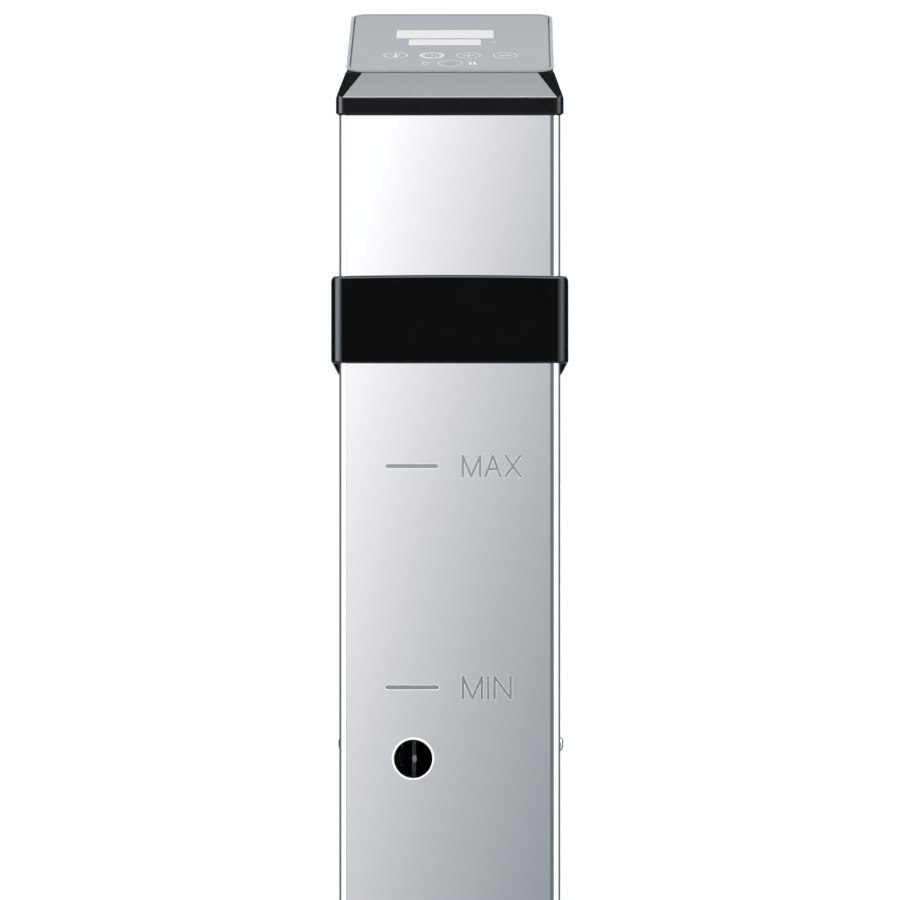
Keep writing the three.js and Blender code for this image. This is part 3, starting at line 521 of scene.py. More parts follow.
STROKES = {
    "M": [((0, 0), (0, 1)), ((0, 1), (0.49, 0)), ((0.49, 0), (1, 1)), ((1, 1), (1, 0))],
    "A": [((0, 0), (0.51, 1)), ((0.51, 1), (1, 0)), ((0.18, 0.355), (0.82, 0.355))],
    "X": [((0, 0), (1, 1)), ((0, 1), (1, 0))],
    "I": [((0, 0), (0, 1))],
    "N": [((0, 0), (0, 1)), ((0, 1), (1, 0)), ((1, 0), (1, 1))],
}
# Each water line's ends and height, then its letters' foot and top, then each letter's left and right.
LEVEL_MARKS = [
    ((-24.7, -5.3, 172.8), (168.7, 176.9), [("M", 5.2, 12.1), ("A", 14.2, 20.1), ("X", 22.2, 28.1)]),
    ((-24.8, -5.0, 84.9), (80.5, 89.0), [("M", 5.3, 12.8), ("I", 15.3, 15.3), ("N", 17.8, 24.2)]),
]


def level_marks():
    """The water lines and their generic MAX and MIN lettering, as cutters. The strokes of a letter differ a
    little in depth, because cuts to the same depth leave a blot where they cross."""
    cutters = []
    for (x0, x1, z), (low, high), letters in LEVEL_MARKS:
        cutters.append(capsule((x0, z), (x1, z), radius=0.78, flare=0.3, depth=0.12))
        for letter, left, right in letters:
            for i, stroke_ends in enumerate(STROKES[letter]):
                a, b = [(left + u * (right - left), low + v * (high - low)) for u, v in stroke_ends]
                cutters.append(capsule(a, b, radius=0.5, flare=0.15, depth=0.07 + 0.006 * i, steps=5))
    return cutters


def rear_slots():
    """Six level slots through the back of the skirt, near its foot, as cutters."""
    half, r, lowest, pitch = 17, 1.8, 16, 8
    slots = [rounded_rect(half, r, r - 0.001, 6, 0, lowest + pitch * i) for i in range(6)]
    return [prism(slot, "y", BODY_Y - 2, BODY_Y + 2) for slot in slots]


def lower_skirt():
    skirt = make("skirt_shell", *sheet_tube(0.0, SKIRT_TOP, hem=True), STEEL, "lower_skirt")
    hole = turned([(8.2, -BODY_Y - 2), (8.2, -BODY_Y + 2)], centre=(OUTLET[0], 0, OUTLET[1]), sides=64)
    carve(skirt, several([*rear_slots(), hole]), STEEL)
    for cutter in level_marks():
        carve(skirt, cutter, ETCHED_EDGE, floor=ETCHED)
    soften(skirt, sharp=15)


lower_skirt()
soften(make("sleeve_shell", *sheet_tube(SLEEVE_BOTTOM, SLEEVE_TOP, hem=False), STEEL, "upper_sleeve"))


def screw(name, node, profile, axis, centre, sides, arm, recess):
    """A screw turned about an axis, with a cross recess whose arms have a half width and two ends."""
    made = make(name, *turned(profile, axis, centre, sides), BRIGHT, node)
    middle = [c for c, other in zip(centre, "xyz") if other != axis]
    arms = [rounded_rect(u, v, 0.15, 3, *middle) for u, v in ((1.7, arm), (arm, 1.7))]
    carve(made, several([prism(outline, axis, *sorted(recess)) for outline in arms]), MILL)
    soften(made)


def side_screw(name, side):
    """A dome-headed screw on one side of the skirt."""
    dome = [(1.4, -5.8), (1.5, -5.6), (1.5, 0.1), (2.75, 0.1), (2.98, 0.2), (3.0, 0.45)]
    dome += [(3.0 * c, 0.45 + 1.3 * s) for c, s in arc(0, 0, 1, 12, 84, 8)]
    profile = [(r, side * (BODY_X + t)) for r, t in dome]
    top = side * (BODY_X + 1.8)
    recess = (top - side * 0.75, top + side * 0.5)
    screw(name, "side_" + name, profile, "x", (0, 0, SIDE_SCREW_Z), 36, 0.32, recess)


side_screw("screw_left", -1)
side_screw("screw_right", 1)

# ---- the outlet


def outlet_ring():
    """The polished eyelet round the outlet, with a full round lip."""
    r, face, lip_radius, lip_height = OUTLET_RADIUS, -BODY_Y, 0.42, 0.5
    lip = arc(0, 0, 1, 0, 180, 16)
    profile = [(r + lip_radius - lip_radius * c, face - lip_radius - lip_height * s) for c, s in lip]
    profile += [(r + 2 * lip_radius, face - 0.1), (r + 0.35, face - 0.1), (r + 0.35, face + 0.9)]
    profile = [(r, face + 0.9), *profile]
    shape = turned(profile, centre=(OUTLET[0], 0, OUTLET[1]), sides=144, closed=True)
    soften(make("outlet_eyelet", *shape, EYELET, "outlet_ring"))


def outlet_tube():
    """The black tube behind the eyelet, with its upright guard bar."""
    r, front, back = OUTLET_RADIUS, -50.9, -31.3
    profile = [(r + 1.9, back), (r + 1.9, front + 0.3), (r + 1.6, front), (r + 0.2, front), (r, front + 0.2)]
    profile += [(r, -48.6), (r - 0.55, -48.2), (r - 0.55, -32), (r, back)]
    tube = turned(profile, centre=(OUTLET[0], 0, OUTLET[1]), sides=96, closed=True)
    bar = rect_prism(0.8, r + 0.5, 0.3, -2.2, 1.8, 0.3, 3)
    bar = moved(bar, lambda x, y, z: (BAR_X + x, -47.8 - z, OUTLET[1] + y))
    # The spout takes the near-black painted shade.
    soften(make("outlet_spout", *tube, PAINTED_SHADE_BLACK, "outlet_nozzle"))
    soften(make("outlet_bar", *bar, BAR_GREY, "outlet_nozzle"))


def outlet_rivet():
    """The oval boss in the middle of the guard bar, a lighter grey than the black bar: a painted highlight.
    """
    radius, tall = 0.95, 1.7
    dome = [(radius * c, -49.4 - 0.9 * s) for c, s in arc(0, 0, 1, 0, 81, 9)]
    boss = turned([(radius, -48.4), *dome], centre=(BAR_X + 0.2, 0, 0), sides=28)
    boss = moved(boss, lambda x, y, z: (x, y, OUTLET[1] - 0.1 + tall * z))
    soften(make("outlet_rivet", *boss, RIVET_HIGHLIGHT_GREY, slot="black_plastic"))


outlet_ring()
outlet_tube()
outlet_rivet()

# ---- the head


def under_panel(depth, y):
    """Height at a place along Y of the plane that lies a depth under the panel's face."""
    return PANEL_FRONT[1] + (y - PANEL_FRONT[0]) * math.tan(PANEL_TILT) - depth / math.cos(PANEL_TILT)


def head_side():
    """The head seen from the side: its front slope, the panel's seat and the step behind it."""
    ridge, foot, back = PANEL_FRONT[0], PANEL_FRONT[0] + 0.16, RIM_Y - 0.8
    slope = [(-60, RIM_LOW - 5), (-60, RIM_TOP - 6.7), (ridge, RIM_TOP + ridge + RIM_Y)]
    seat = [(foot, under_panel(SEAT, foot)), (back, under_panel(SEAT, back))]
    return [*slope, *seat, (RIM_Y + 0.01, RIM_TOP + 4), (60, RIM_TOP + 4), (60, RIM_LOW - 5)]


def head_front():
    """The head seen from the front: upright at the rim, and leaning in above it."""
    flare = RIM_X + 4
    half = [(flare, RIM_LOW - 5), (flare, RIM_TOP - 11.7), (RIM_X, RIM_TOP), (RIDGE_X, 331), (RIDGE_X, 370)]
    return mirrored(half)


def head_plan():
    """The head seen from above: a little narrower towards the back."""
    front = [(RIM_X, -RIM_Y - 5), (RIM_X, -RIM_Y + 2.7)]
    return mirrored([*front, (HEAD_BACK_X, -10), (HEAD_BACK_X, RIM_Y + 5)])


def head_shell():
    """A block cut to its side, front and plan, then hollowed over the column and under the panel."""
    profile = [(1.0, RIM_LOW), (0.75, RIM_LOW + 0.12), (0.0, RIM_LOW + 0.95), (0.0, 368)]
    block = stacked(lambda d: creased_rect(RIM_X - d, RIM_Y - d, 4.3 - d * 0.5, 5, 14), profile)
    head = make("head_shell", *block, SATIN_BLACK, "head_housing")
    above, start = SLEEVE_TOP + 0.3, -RIM_Y + 2.7
    lap = [(start, 300), (start, RIM_LOW), (start + above - RIM_LOW, above), (60, above), (60, 300)]
    carve(head, prism(lap, "x", -60, 60), SATIN_BLACK)
    carve(head, prism(head_side(), "x", -60, 60), SATIN_BLACK, "INTERSECT")
    carve(head, prism(head_front(), "y", -80, 80), SATIN_BLACK, "INTERSECT")
    carve(head, prism(head_plan(), "z", RIM_LOW - 1, 372), SATIN_BLACK, "INTERSECT")
    round_edges(head, 0.2, 2, limit=24)
    column = rounded_rect(BODY_X + 0.3, BODY_Y + 0.3, BODY_CORNER, 6)
    front, back, depth = -37.3, 49.8, 4.1
    hollow = [(-46, SLEEVE_TOP), (-46, SLEEVE_TOP + 3.4), (front, under_panel(depth, front))]
    hollow += [(back, under_panel(depth, back)), (back, SLEEVE_TOP)]
    carve(head, prism(column, "z", RIM_LOW - 2, above), SATIN_BLACK)
    carve(head, prism(hollow, "x", -38, 38), GRAINED_BLACK)
    carve(head, turned([(7.0, 48), (7.0, 56)], centre=(0, 0, GLAND_Z), sides=48), GRAINED_BLACK)
    carve(head, inlay_shape(-0.75, 3, 0.32), SATIN_BLACK)
    soften(head, sharp=11)


def panel_middle():
    half, (y, z) = PANEL_SIZE[1] / 2, PANEL_FRONT
    return Vector((0, y + half * math.cos(PANEL_TILT), z + half * math.sin(PANEL_TILT)))


def on_panel(shape):
    """Moves a shape from the panel's own frame to where the panel lies."""
    move = Matrix.Translation(panel_middle()) @ Matrix.Rotation(PANEL_TILT, 4, "X")
    return moved(shape, lambda *p: tuple(move @ Vector(p)))


def on_apron(shape):
    """Moves a shape drawn in XY, with Y up the slope, onto the front slope of the head."""
    move = Matrix.Translation((0, -RIM_Y, RIM_TOP)) @ Matrix.Rotation(math.radians(45), 4, "X")
    return moved(shape, lambda *p: tuple(move @ Vector(p)))


def inlay_shape(low, high, grow, edge=0.0):
    """The front inlay from low to high, grown on all sides, with its upper rim chamfered by edge."""
    wide, narrow, foot = 42.55, 35.0, 0.75
    length = (PANEL_FRONT[0] + RIM_Y) * math.sqrt(2) - 0.2

    def corners(inset):
        g = grow - inset
        top = [(narrow + g, length + g), (-narrow - g, length + g)]
        return [(-wide - g, foot - g), (wide + g, foot - g), *top]

    profile = [(0.0, low), (0.0, high - edge), (edge, high)] if edge else [(0.0, low), (0.0, high)]
    return on_apron(stacked(corners, profile))


def front_inlay():
    shape = inlay_shape(-0.4, 0.2, 0, 0.22)
    plate = make("front_plate", *shape, [INLAY, INLAY_EDGE_HIGHLIGHT], "front_inlay")
    up = Vector((0, -math.sqrt(0.5), math.sqrt(0.5)))
    # The chamfer faces take the light grey of the painted edge highlight.
    for face in plate.data.polygons:
        face.material_index = 0 if face.normal.dot(up) > 0.9 else 1
    soften(plate, sharp=20)


head_shell()
front_inlay()

# ---- the panel


def panel_ring(width, low, high, edge):
    """A rounded rectangular ring in the panel's frame, with softened upper edges and a softened foot."""
    hx, hy = PANEL_SIZE[0] / 2, PANEL_SIZE[1] / 2
    nib = edge * 0.3
    steps = [(edge, low), (nib, low + edge * 0.5), (0, low + edge)]
    steps += [(0, high - edge), (nib, high - nib), (edge, high)]
    steps += [(width - edge, high), (width - nib, high - nib), (width, high - edge), (width, low)]
    return stacked(lambda d: rounded_rect(hx - d, hy - d, PANEL_CORNER - d, 12), steps, True)


def bezel():
    """The silver frame round the plate. Its inner wall is painted black, as painted shade in the gap round
    the plate.
    """
    shape = on_panel(panel_ring(1.3, -1.2, 0.0, 0.3))
    ring = make("bezel", *shape, [SILVER, GRAINED_BLACK], "panel_bezel")
    middle = panel_middle()
    up = Vector((0, -math.sin(PANEL_TILT), math.cos(PANEL_TILT)))
    # Painted shade: faces on the inner wall take the black plastic.
    for face in ring.data.polygons:
        inward = face.normal.dot(middle - face.center) > 0.02
        face.material_index = 1 if inward and abs(face.normal.dot(up)) < 0.2 else 0
    soften(ring)


def along(t):
    """A place up the panel, measured from its front edge, in the panel's own frame."""
    return t - PANEL_SIZE[1] / 2


# Each window's piece and node, then its middle in X, its lower and upper edge up the panel, and its width.
WINDOWS = {
    ("temperature_window", "temperature_display_window"): (-2.5, 54.8, 69.6, 40.2),
    ("timer_window", "timer_display_window"): (-2.5, 42.7, 53.4, 29.9),
}


def window_outline(place, margin):
    """Half sizes and middle of a window, with a margin inside its edges."""
    x, low, high, width = place
    return width / 2 - margin, (high - low) / 2 - margin, x, along((low + high) / 2)


def control_panel():
    hx, hy = PANEL_SIZE[0] / 2 - PLATE_INSET, PANEL_SIZE[1] / 2 - PLATE_INSET
    plate = rect_prism(hx, hy, PANEL_CORNER - PLATE_INSET, -1.15, PLATE_TOP, 0.3, 10)
    panel = make("control_plate", *on_panel(plate), PANEL, "control_panel")
    for place in WINDOWS.values():
        hx, hy, x, y = window_outline(place, 0.1)
        carve(panel, on_panel(prism(rounded_rect(hx, hy, 0.35, 3, x, y), "z", PLATE_TOP - 0.5, 2)), PANEL)
    soften(panel)


def display_windows():
    for (name, node), place in WINDOWS.items():
        hx, hy, x, y = window_outline(place, 0.2)
        shape = on_panel(rect_prism(hx, hy, 0.35, PLATE_TOP - 0.5, PLATE_TOP - 0.03, 0.06, 3, x, y))
        soften(make(name, *shape, LENS, node))


bezel()
control_panel()
display_windows()

# Printed symbols: thin raised ink in the panel's own frame.
INK = (PLATE_TOP - 0.01, PLATE_TOP + 0.045)
KEY_RADIUS = 5.0
KEY_ROW = 24.9
POWER_ROW = 11.2
KEYS = {"temperature": -22.1, "timer": -7.45, "plus": 7.25, "minus": 21.95}


def key_at(name):
    """The middle of a key: four are in a row, and the power key is below them."""
    return (KEYS[name], along(KEY_ROW)) if name in KEYS else (0.0, along(POWER_ROW))


def ink(points):
    return prism(points, "z", *INK)


def stroke(a, b, width):
    return ink(stadium(a, b, width / 2, 4))


def dot(cx, cy, radius):
    return ink(arc(cx, cy, radius, 0, 345, 23))


def circle(cx, cy, radius, width, start=0, end=360):
    """A printed ring, or the part of it from one angle to another."""
    whole = end - start >= 360
    rings = []
    for d, z in ((0, INK[0]), (0, INK[1]), (width, INK[1]), (width, INK[0])):
        points = arc(cx, cy, radius - d, start, end, (end - start) // 6)
        rings.append(at_height(points[:-1] if whole else points, z))
    return loft(rings, closed=True) if whole else loft(list(zip(*rings)))


def printed(name, shapes, material):
    make(name, *on_panel(several(shapes)), material, slot="display_lens")


def quiet_symbols():
    """The rings of four keys, the plus, the minus and the play triangle."""
    shapes = [circle(*key_at(name), KEY_RADIUS, 0.52) for name in ("temperature", "plus", "minus", "power")]
    x, y = key_at("plus")
    shapes += [stroke((x - 1.9, y), (x + 1.9, y), 0.8), stroke((x, y - 2.6), (x, y + 2.6), 0.7)]
    x, y = key_at("minus")
    shapes.append(stroke((x - 2.0, y), (x + 2.0, y), 0.9))
    y = along(POWER_ROW)
    play = [(-11.0, y - 1.9), (-11.0, y + 1.9), (-7.6, y)]
    shapes += [stroke(play[i], play[(i + 1) % 3], 0.55) for i in range(3)]
    printed("printed_symbols", shapes, PRINT)


def bright_symbols():
    """The thermometer, the clock ring with its ticks and hands, the pause bars and the small dash."""
    x, y = key_at("temperature")
    shapes = [stroke((x, y - 0.6), (x, y + 2.6), 0.75), dot(x, y - 1.6, 1.05)]
    shapes += [stroke((x + 1.0, y + t), (x + 1.6, y + t), 0.3) for t in (0.3, 1.3, 2.3)]
    x, y = key_at("timer")
    shapes.append(circle(x, y, KEY_RADIUS, 0.95))
    inner, outer = arc(x, y, 3.2, 0, 360, 12), arc(x, y, 4.2, 0, 360, 12)
    shapes += [stroke(inner[i], outer[i], 0.4) for i in range(12)]
    shapes += [stroke((x, y), (x, y + 2.3), 0.35), stroke((x, y), (x + 1.6, y - 0.8), 0.35)]
    y = along(POWER_ROW)
    low, high = y - 2.0, y + 2.0
    for x in (8.0, 9.8):
        left, right = x - 0.55, x + 0.55
        shapes.append(ink([(left, low), (right, low), (right, high), (left, high)]))
    y = along(48.4)
    shapes.append(stroke((17.1, y), (17.9, y), 0.8))
    printed("bright_symbols", shapes, PRINT_BRIGHT)


def power_symbol():
    x, y = key_at("power")
    shapes = [circle(x, y, 2.0, 0.45, 120, 420), stroke((x, y + 0.5), (x, y + 2.4), 0.45)]
    printed("power_symbol", shapes, PRINT_RED)


quiet_symbols()
bright_symbols()
power_symbol()


def cable_gland():
    """The gland at the back of the head, with an open bore."""
    outer, bore, back = 9.5, 3.8, RIM_Y
    lip = [(outer - 0.3, back + 0.3), (outer, back + 0.6), (outer, back + 1.5), (outer - 0.3, back + 2.0)]
    lip += [(8.2, back + 3.0), (7.7, back + 3.2), (bore + 0.5, back + 3.2), (bore, back + 2.8)]
    profile = [(bore, back - 8), (6.7, back - 8), (6.7, back + 0.3), *lip]
    shape = turned(profile, centre=(0, 0, GLAND_Z), sides=48, closed=True)
    soften(make("lead_gland", *shape, GRAINED_BLACK, "cable_gland"))


cable_gland()

# ---- the collar


def collar_top(x):
    """Height of the collar's top: a slight crown with rounded shoulders."""
    c = COLLAR
    flat = c["x"] - c["shoulder"]
    past = max(0.0, abs(x) - flat)
    fall = c["shoulder"] - math.sqrt(max(0.0, c["shoulder"] ** 2 - past ** 2))
    return c["top"] + c["crown"] * (1 - min(1.0, abs(x) / flat) ** 2) - fall


def collar_outline(inset):
    c = COLLAR
    return divided(creased_rect(c["x"] - inset, c["y"] - inset, c["corner"] - inset / 2, 18, 10))


def collar_ears():
    """The lower parts of the collar's sides."""
    middle, reach = (COLLAR["y"] + EAR["front"]) / 2, (COLLAR["y"] - EAR["front"]) / 2
    lean, low = EAR["lean"], EAR["low"]
    rings = []
    for inset, z in ((lean + 0.2, low), (lean, low + 0.2), (0.1, EAR["bend"]), (0.1, EAR["from"])):
        outline = creased_rect(COLLAR["x"] - inset, reach, COLLAR["corner"] - inset / 2, 0, 10)
        rings.append([(x, y + middle, z) for x, y in outline])
    return loft(rings)


def collar():
    low_round, top_round = 1.1, 1.3
    rings = []
    for c, s in quarter_turn(6):
        rings.append(at_height(collar_outline(low_round * (1 - s)), COLLAR["bottom"] + low_round * (1 - c)))
    for c, s in quarter_turn(9):
        outline = collar_outline(top_round * (1 - c))
        rings.append([(x, y, collar_top(x) - top_round * (1 - s)) for x, y in outline])
    column = rounded_rect(BODY_X + 0.12, BODY_Y + 0.12, BODY_CORNER, 8)
    band = make("collar_band", *loft(rings), GLOSS_BLACK, "clamp_collar")
    carve(band, collar_ears(), GLOSS_BLACK, "UNION")
    carve(band, prism(column, "z", 190, 260), GLOSS_BLACK)
    soften(band, sharp=15)


collar()

# ---- the clamp


def clamp_frame():
    """The moulded arm: an upside-down U seen from the side, whose outer leg tapers round the screw."""
    foot, band, steel = FRAME_LOW - 2, COLLAR["y"] + 0.3, BODY_Y + 0.4
    step, jaw, inner, outer = EAR["low"] + 0.1, 59, 88, 96
    side = [(band, FRAME_TOP), (band, step), (steel, step), (steel, foot), (jaw, foot)]
    side += arc(jaw + 5, BRIDGE_Z - 5, 5, 180, 90) + arc(inner - 5, BRIDGE_Z - 5, 5, 90, 0)
    side += [(inner, foot), (outer, foot)] + arc(outer - 9, FRAME_TOP - 9, 9, 0, 90)
    half, boss = 25, 13
    tongue = [(half, FRAME_TOP + 1), (-half, FRAME_TOP + 1), (-half, BRIDGE_Z - 8), (-boss, CLAMP_Z)]
    tongue += arc(0, CLAMP_Z, boss, 180, 360, 16)[1:] + [(half, BRIDGE_Z - 8)]
    shape = prism(side, "x", -30, 30)
    made = make("clamp_arm", *shape, GRAINED_BLACK, "clamp_frame")
    carve(made, prism(tongue, "y", 50, 100), GRAINED_BLACK, "INTERSECT")
    round_edges(made, 0.8, 3)
    back_recess = prism(rounded_rect(17, 7.5, 3, 5, 0, 221), "y", 95.2, 99)
    top_recess = prism(rounded_rect(18, 4, 2, 5, 0, 75), "z", FRAME_TOP - 0.7, FRAME_TOP + 2)
    hole = turned([(7.9, 86), (7.9, 98)], centre=CLAMP_AXIS)
    carve(made, several([back_recess, top_recess, hole]), GRAINED_BLACK)
    soften(made)


def frame_screw(name, node, x):
    """A pan-headed screw that holds the frame to the column."""
    profile = [(1.4, 52.6), (1.6, 52.8), (1.6, 59.2), (3.1, 59.2), (3.2, 59.4), (3.1, 60.2), (2.6, 60.8)]
    profile += [(1.7, 61.2), (0.4, 61.3)]
    screw(name, node, profile, "y", (x, 0, FRAME_SCREW[1]), 32, 0.35, (60.4, 62))


def jaw_pad():
    """The ribbed rubber on the fixed jaw, drawn flat and stood up. The end ribs are shorter."""
    ribs, pitch = 9, 3.3
    shapes = [rect_prism(10, 17, 6, 59.3, 60.7, 0.3, 8, 0, JAW_Z)]
    for i in range(ribs):
        place = i - ribs // 2
        half = 6.2 if abs(place) == ribs // 2 else 8.6
        shapes.append(rect_prism(half, 1.1, 0.9, 60.5, 61.3, 0.35, 4, 0, JAW_Z + place * pitch))
    shape = moved(several(shapes), lambda x, y, z: (x, z, y))
    soften(make("jaw_rubber", *shape, RUBBER, "jaw_pad"))


def turned_piece(name, node, profile, material, body="circulator", closed=False):
    """A piece turned about the clamp screw's axis."""
    shape = turned(profile, centre=CLAMP_AXIS, closed=closed)
    soften(make(name, *shape, material, node, body))


def thread_insert():
    profile = [(4.3, 88.5), (7.2, 88.4), (7.5, 88.7), (7.5, 95.3), (7.2, 95.6), (5.0, 95.6), (4.3, 95.0)]
    turned_piece("brass_insert", "thread_insert", profile, BRASS, closed=True)


def pressure_pad():
    """The cup on the screw's tip, and the grooved rubber on its face."""
    front, back = 73.6, 78.6
    cup = [(11.7, front), (12.0, front + 0.3), (12.0, front + 1.9), (11.6, front + 2.4), (9.4, back - 0.3)]
    cup += [(8.8, back), (4.6, back), (4.3, back - 0.3), (4.3, 75.2)]
    turned_piece("pad_cup", "pressure_cup", cup, GRAINED_BLACK, "pressure_pad")
    crest, groove = 71.3, 71.9
    face = [(11.4, 73.3), (11.4, 71.8), (11.0, 71.4), (10.4, crest)]
    for outer in (9.4, 6.6, 3.8):
        face += [(outer, crest), (outer - 0.4, groove), (outer - 1.2, groove), (outer - 1.6, crest)]
    turned_piece("pad_rubber", "pad_facing", face, RUBBER, "pressure_pad")


def wheel(y, sides, radius):
    """A ring about the clamp screw's axis, whose radius is a function of the angle."""
    angles = [2 * math.pi * j / sides for j in range(sides)]
    return [(radius(a) * math.cos(a), y, CLAMP_Z + radius(a) * math.sin(a)) for a in angles]


def clamp_screw():
    """The clamp's screw: a rounded trapezoidal thread between a plain tip and a plain shank."""
    tip, crest, depth, necking = 3.0, 3.95, 0.62, 0.45
    sides, start, end, step = 36, 75.6, 115.2, 0.25

    def radius_at(y):
        ease = min(1, (y - start - 2.8) / 1.5, (end - 8.5 - y) / 1.5)
        neck = necking if ease < 0 and y < 90 else 0

        def radius(a):
            phase = (y / PITCH - a / (2 * math.pi)) % 1
            tooth = min(1, max(0, 2.2 - 5 * abs(phase - 0.5)))
            return crest - depth * max(0, ease) * (1 - tooth) - neck

        return radius

    rings = [wheel(start - 0.1, sides, lambda a: tip)]
    count = int((end - start) / step)
    for y in [start + (end - start) * i / count for i in range(count + 1)]:
        rings.append(wheel(y, sides, radius_at(y)))
    made = make("clamp_spindle", *loft(rings), BRIGHT, "clamp_screw", body="clamp_screw")
    soften(made, sharp=50)


def clamp_knob():
    """A six-lobed knob with rounded rims and fine grip ribs, on a round hub."""
    sides, widest, lobe, rib = 144, 16.6, 1.6, 0.16

    def plain(r, y):
        return wheel(y, sides, lambda a: r)

    def lobed(inset, y):
        deep = rib if inset < 0.7 else 0.0

        def radius(a):
            return widest - lobe * (1 - math.cos(6 * a)) / 2 - inset - deep * abs(math.sin(36 * a))

        return wheel(y, sides, radius)

    rings = [plain(r, y) for r, y in ((8.4, 106.6), (8.5, 106.9), (8.5, 110.0), (9.5, 110.5))]
    rim = [(2.4, 110.5), (1.1, 110.9), (0.3, 111.7), (0.0, 112.7), (0.0, 119.6), (0.25, 120.7)]
    rings += [lobed(inset, y) for inset, y in [*rim, (0.95, 121.5), (2.0, 121.9)]]
    rings += [plain(r, y) for r, y in ((10.6, 122.0), (10.3, 121.8), (10.3, 120.9))]
    made = make("knob_grip", *loft(rings), GRAINED_BLACK, "clamp_knob", body="clamp_screw")
    soften(made, sharp=40)


def knob_cap():
    """The silver disc on the knob, with a fine turned groove near its rim."""
    profile = [(10.0, 121.1), (10.0, 121.75), (9.8, 121.95), (9.4, 122.0), (8.6, 122.0), (8.4, 121.85)]
    profile += [(8.2, 121.85), (8.0, 122.0), (0.5, 122.0)]
    turned_piece("knob_disc", "knob_cap", profile, SILVER, "clamp_screw")


clamp_frame()
frame_screw("arm_screw_left", "clamp_frame_screw_left", -FRAME_SCREW[0])
frame_screw("arm_screw_right", "clamp_frame_screw_right", FRAME_SCREW[0])
jaw_pad()
thread_insert()
pressure_pad()
clamp_screw()
clamp_knob()
knob_cap()

# ---- the inner CAD pieces

BY_SLOT = {
    "satin_steel": STEEL,
    "structural_steel": MILL,
    "bright_steel": BRIGHT,
    "black_plastic": GRAINED_BLACK,
    "black_rubber": RUBBER,
    "circuit_board": BOARD,
    "brass": BRASS,
    "white_plastic": WHITE,
    "copper": COPPER,
    "aluminium": ALUMINIUM,
}
# The pieces inside the pump take the near-black painted shade.
BY_NODE = {"pump_housing": PAINTED_SHADE_BLACK, "pump_cover": PAINTED_SHADE_BLACK, "impeller": PAINTED_SHADE_BLACK}


def dress_cad_nodes():
    """Gives every CAD piece that still shows the material of its slot, or its own."""
    for name, slot in SLOTS.items():
        node = frame["nodes"][name]
        if not node.hide_render:
            node.data.materials.clear()
            node.data.materials.append(BY_NODE.get(name) or BY_SLOT[slot])


dress_cad_nodes()

# ---- floor and cards, in metres

STUDIO_TINT = (0.855, 0.935, 1.0)
FLOOR_TINT = (0.95, 0.975, 1.0)
# Ramps hold levels up to 1, so they are scaled by the brightest one.
BRIGHTEST = 8.0
# The graded card stands in front of the column, and a dark flag carries on to its right. The card's strength
# is a power of two, middle + up * height + across * place to the right of "from", and never over "most".
CARD = {"across": -9.0, "up": 2.44, "middle": -0.295, "from": -0.05, "most": 1.3}
CARD_PLACE = (0, -0.472, 0.2)
CARD_EDGES = (-0.4, 0.08)
CARD_HEIGHTS = (-0.35, 0.19)
FLAG_RIGHT = 0.33
FLAG_LEVEL = 0.23
# The two side cards, left and right of the column: strength by place along Y, from front edge to back edge.
SIDE_CARD_X = 0.6
SIDE_CARD_HEIGHTS = (-0.6, 0.42)
SIDE_STRIPS = {
    -1: [(-0.03, 1.3), (0.01, 1.05), (0.06, 0.85), (0.12, 0.55), (0.17, 0.35), (0.26, 0.18), (0.5, 0.1)],
    1: [(-0.015, 1.2), (0.01, 1.0), (0.06, 0.88), (0.17, 0.7), (0.26, 0.45), (0.4, 0.15), (0.5, 0.1)],
}


def ramp_of_levels(tree, place, stops):
    """Brightness that runs through its stops, each a place from 0 to 1 and a level."""
    ramp = add_node(tree, "ShaderNodeValToRGB", Fac=place)
    made = ramp.color_ramp.elements
    while len(made) > 1:
        made.remove(made[0])
    for i, (at, value) in enumerate(stops):
        stop = made[0] if i == 0 else made.new(at)
        stop.position = at
        stop.color = (*[value / BRIGHTEST] * 3, 1)
    return math_node(tree, "MULTIPLY", ramp.outputs["Color"], BRIGHTEST)


def emission(name, color, strength):
    """A material that only shines, with its node tree and the node that shines."""
    material = bpy.data.materials.new(name)
    material.use_nodes = True
    tree = material.node_tree
    tree.nodes.clear()
    light = add_node(tree, "ShaderNodeEmission", Color=(*color, 1), Strength=strength)
    add_node(tree, "ShaderNodeOutputMaterial", Surface=light.outputs[0])
    return material, tree, light


def stage_plane(name, across, up, location, rotation, material):
    """A flat card between its two edges across and up, about its own origin."""
    mesh = bpy.data.meshes.new(name)
    (x0, x1), (y0, y1) = across, up
    mesh.from_pydata([(x0, y0, 0), (x1, y0, 0), (x1, y1, 0), (x0, y1, 0)], [], [(0, 1, 2, 3)])
    mesh.materials.append(material)
    plane = bpy.data.objects.new(name, mesh)
    plane.location = location
    plane.rotation_euler = rotation
    bpy.context.scene.collection.objects.link(plane)
    return plane


def floor():
    """A white floor just under the foot. It glows a little, and reflections don't show it."""
    reach = (-30, 30)
    glow = {"Emission_Color": (1, 1, 1, 1), "Emission_Strength": 0.3}
    white = finish("floor_white", (0.92, 0.92, 0.92), 0.6, Specular_IOR_Level=0.0, **glow)
    plane = stage_plane("floor", reach, reach, (0, 0, -0.0002), (0, 0, 0), white)
    plane.visible_glossy = False


def polished_pieces():
    """The steel pieces, which are the only ones lit by the cards. The rest see the cards as dark."""
    made = bpy.data.collections.new("mirrors_the_cards")
    for piece in bpy.context.scene.objects:
        shown = piece.type == "MESH" and piece.data.materials and piece.data.materials[0]
        if shown in (STEEL, BRIGHT, EYELET, MILL):
            made.objects.link(piece)
    return made


def card(receivers, *settings):
    """A stage plane that shows only in reflections, and shines only on its receivers."""
    made = stage_plane(*settings)
    for ray in ("camera", "diffuse", "shadow", "transmission"):
        setattr(made, "visible_" + ray, False)
    made.light_linking.receiver_collection = receivers


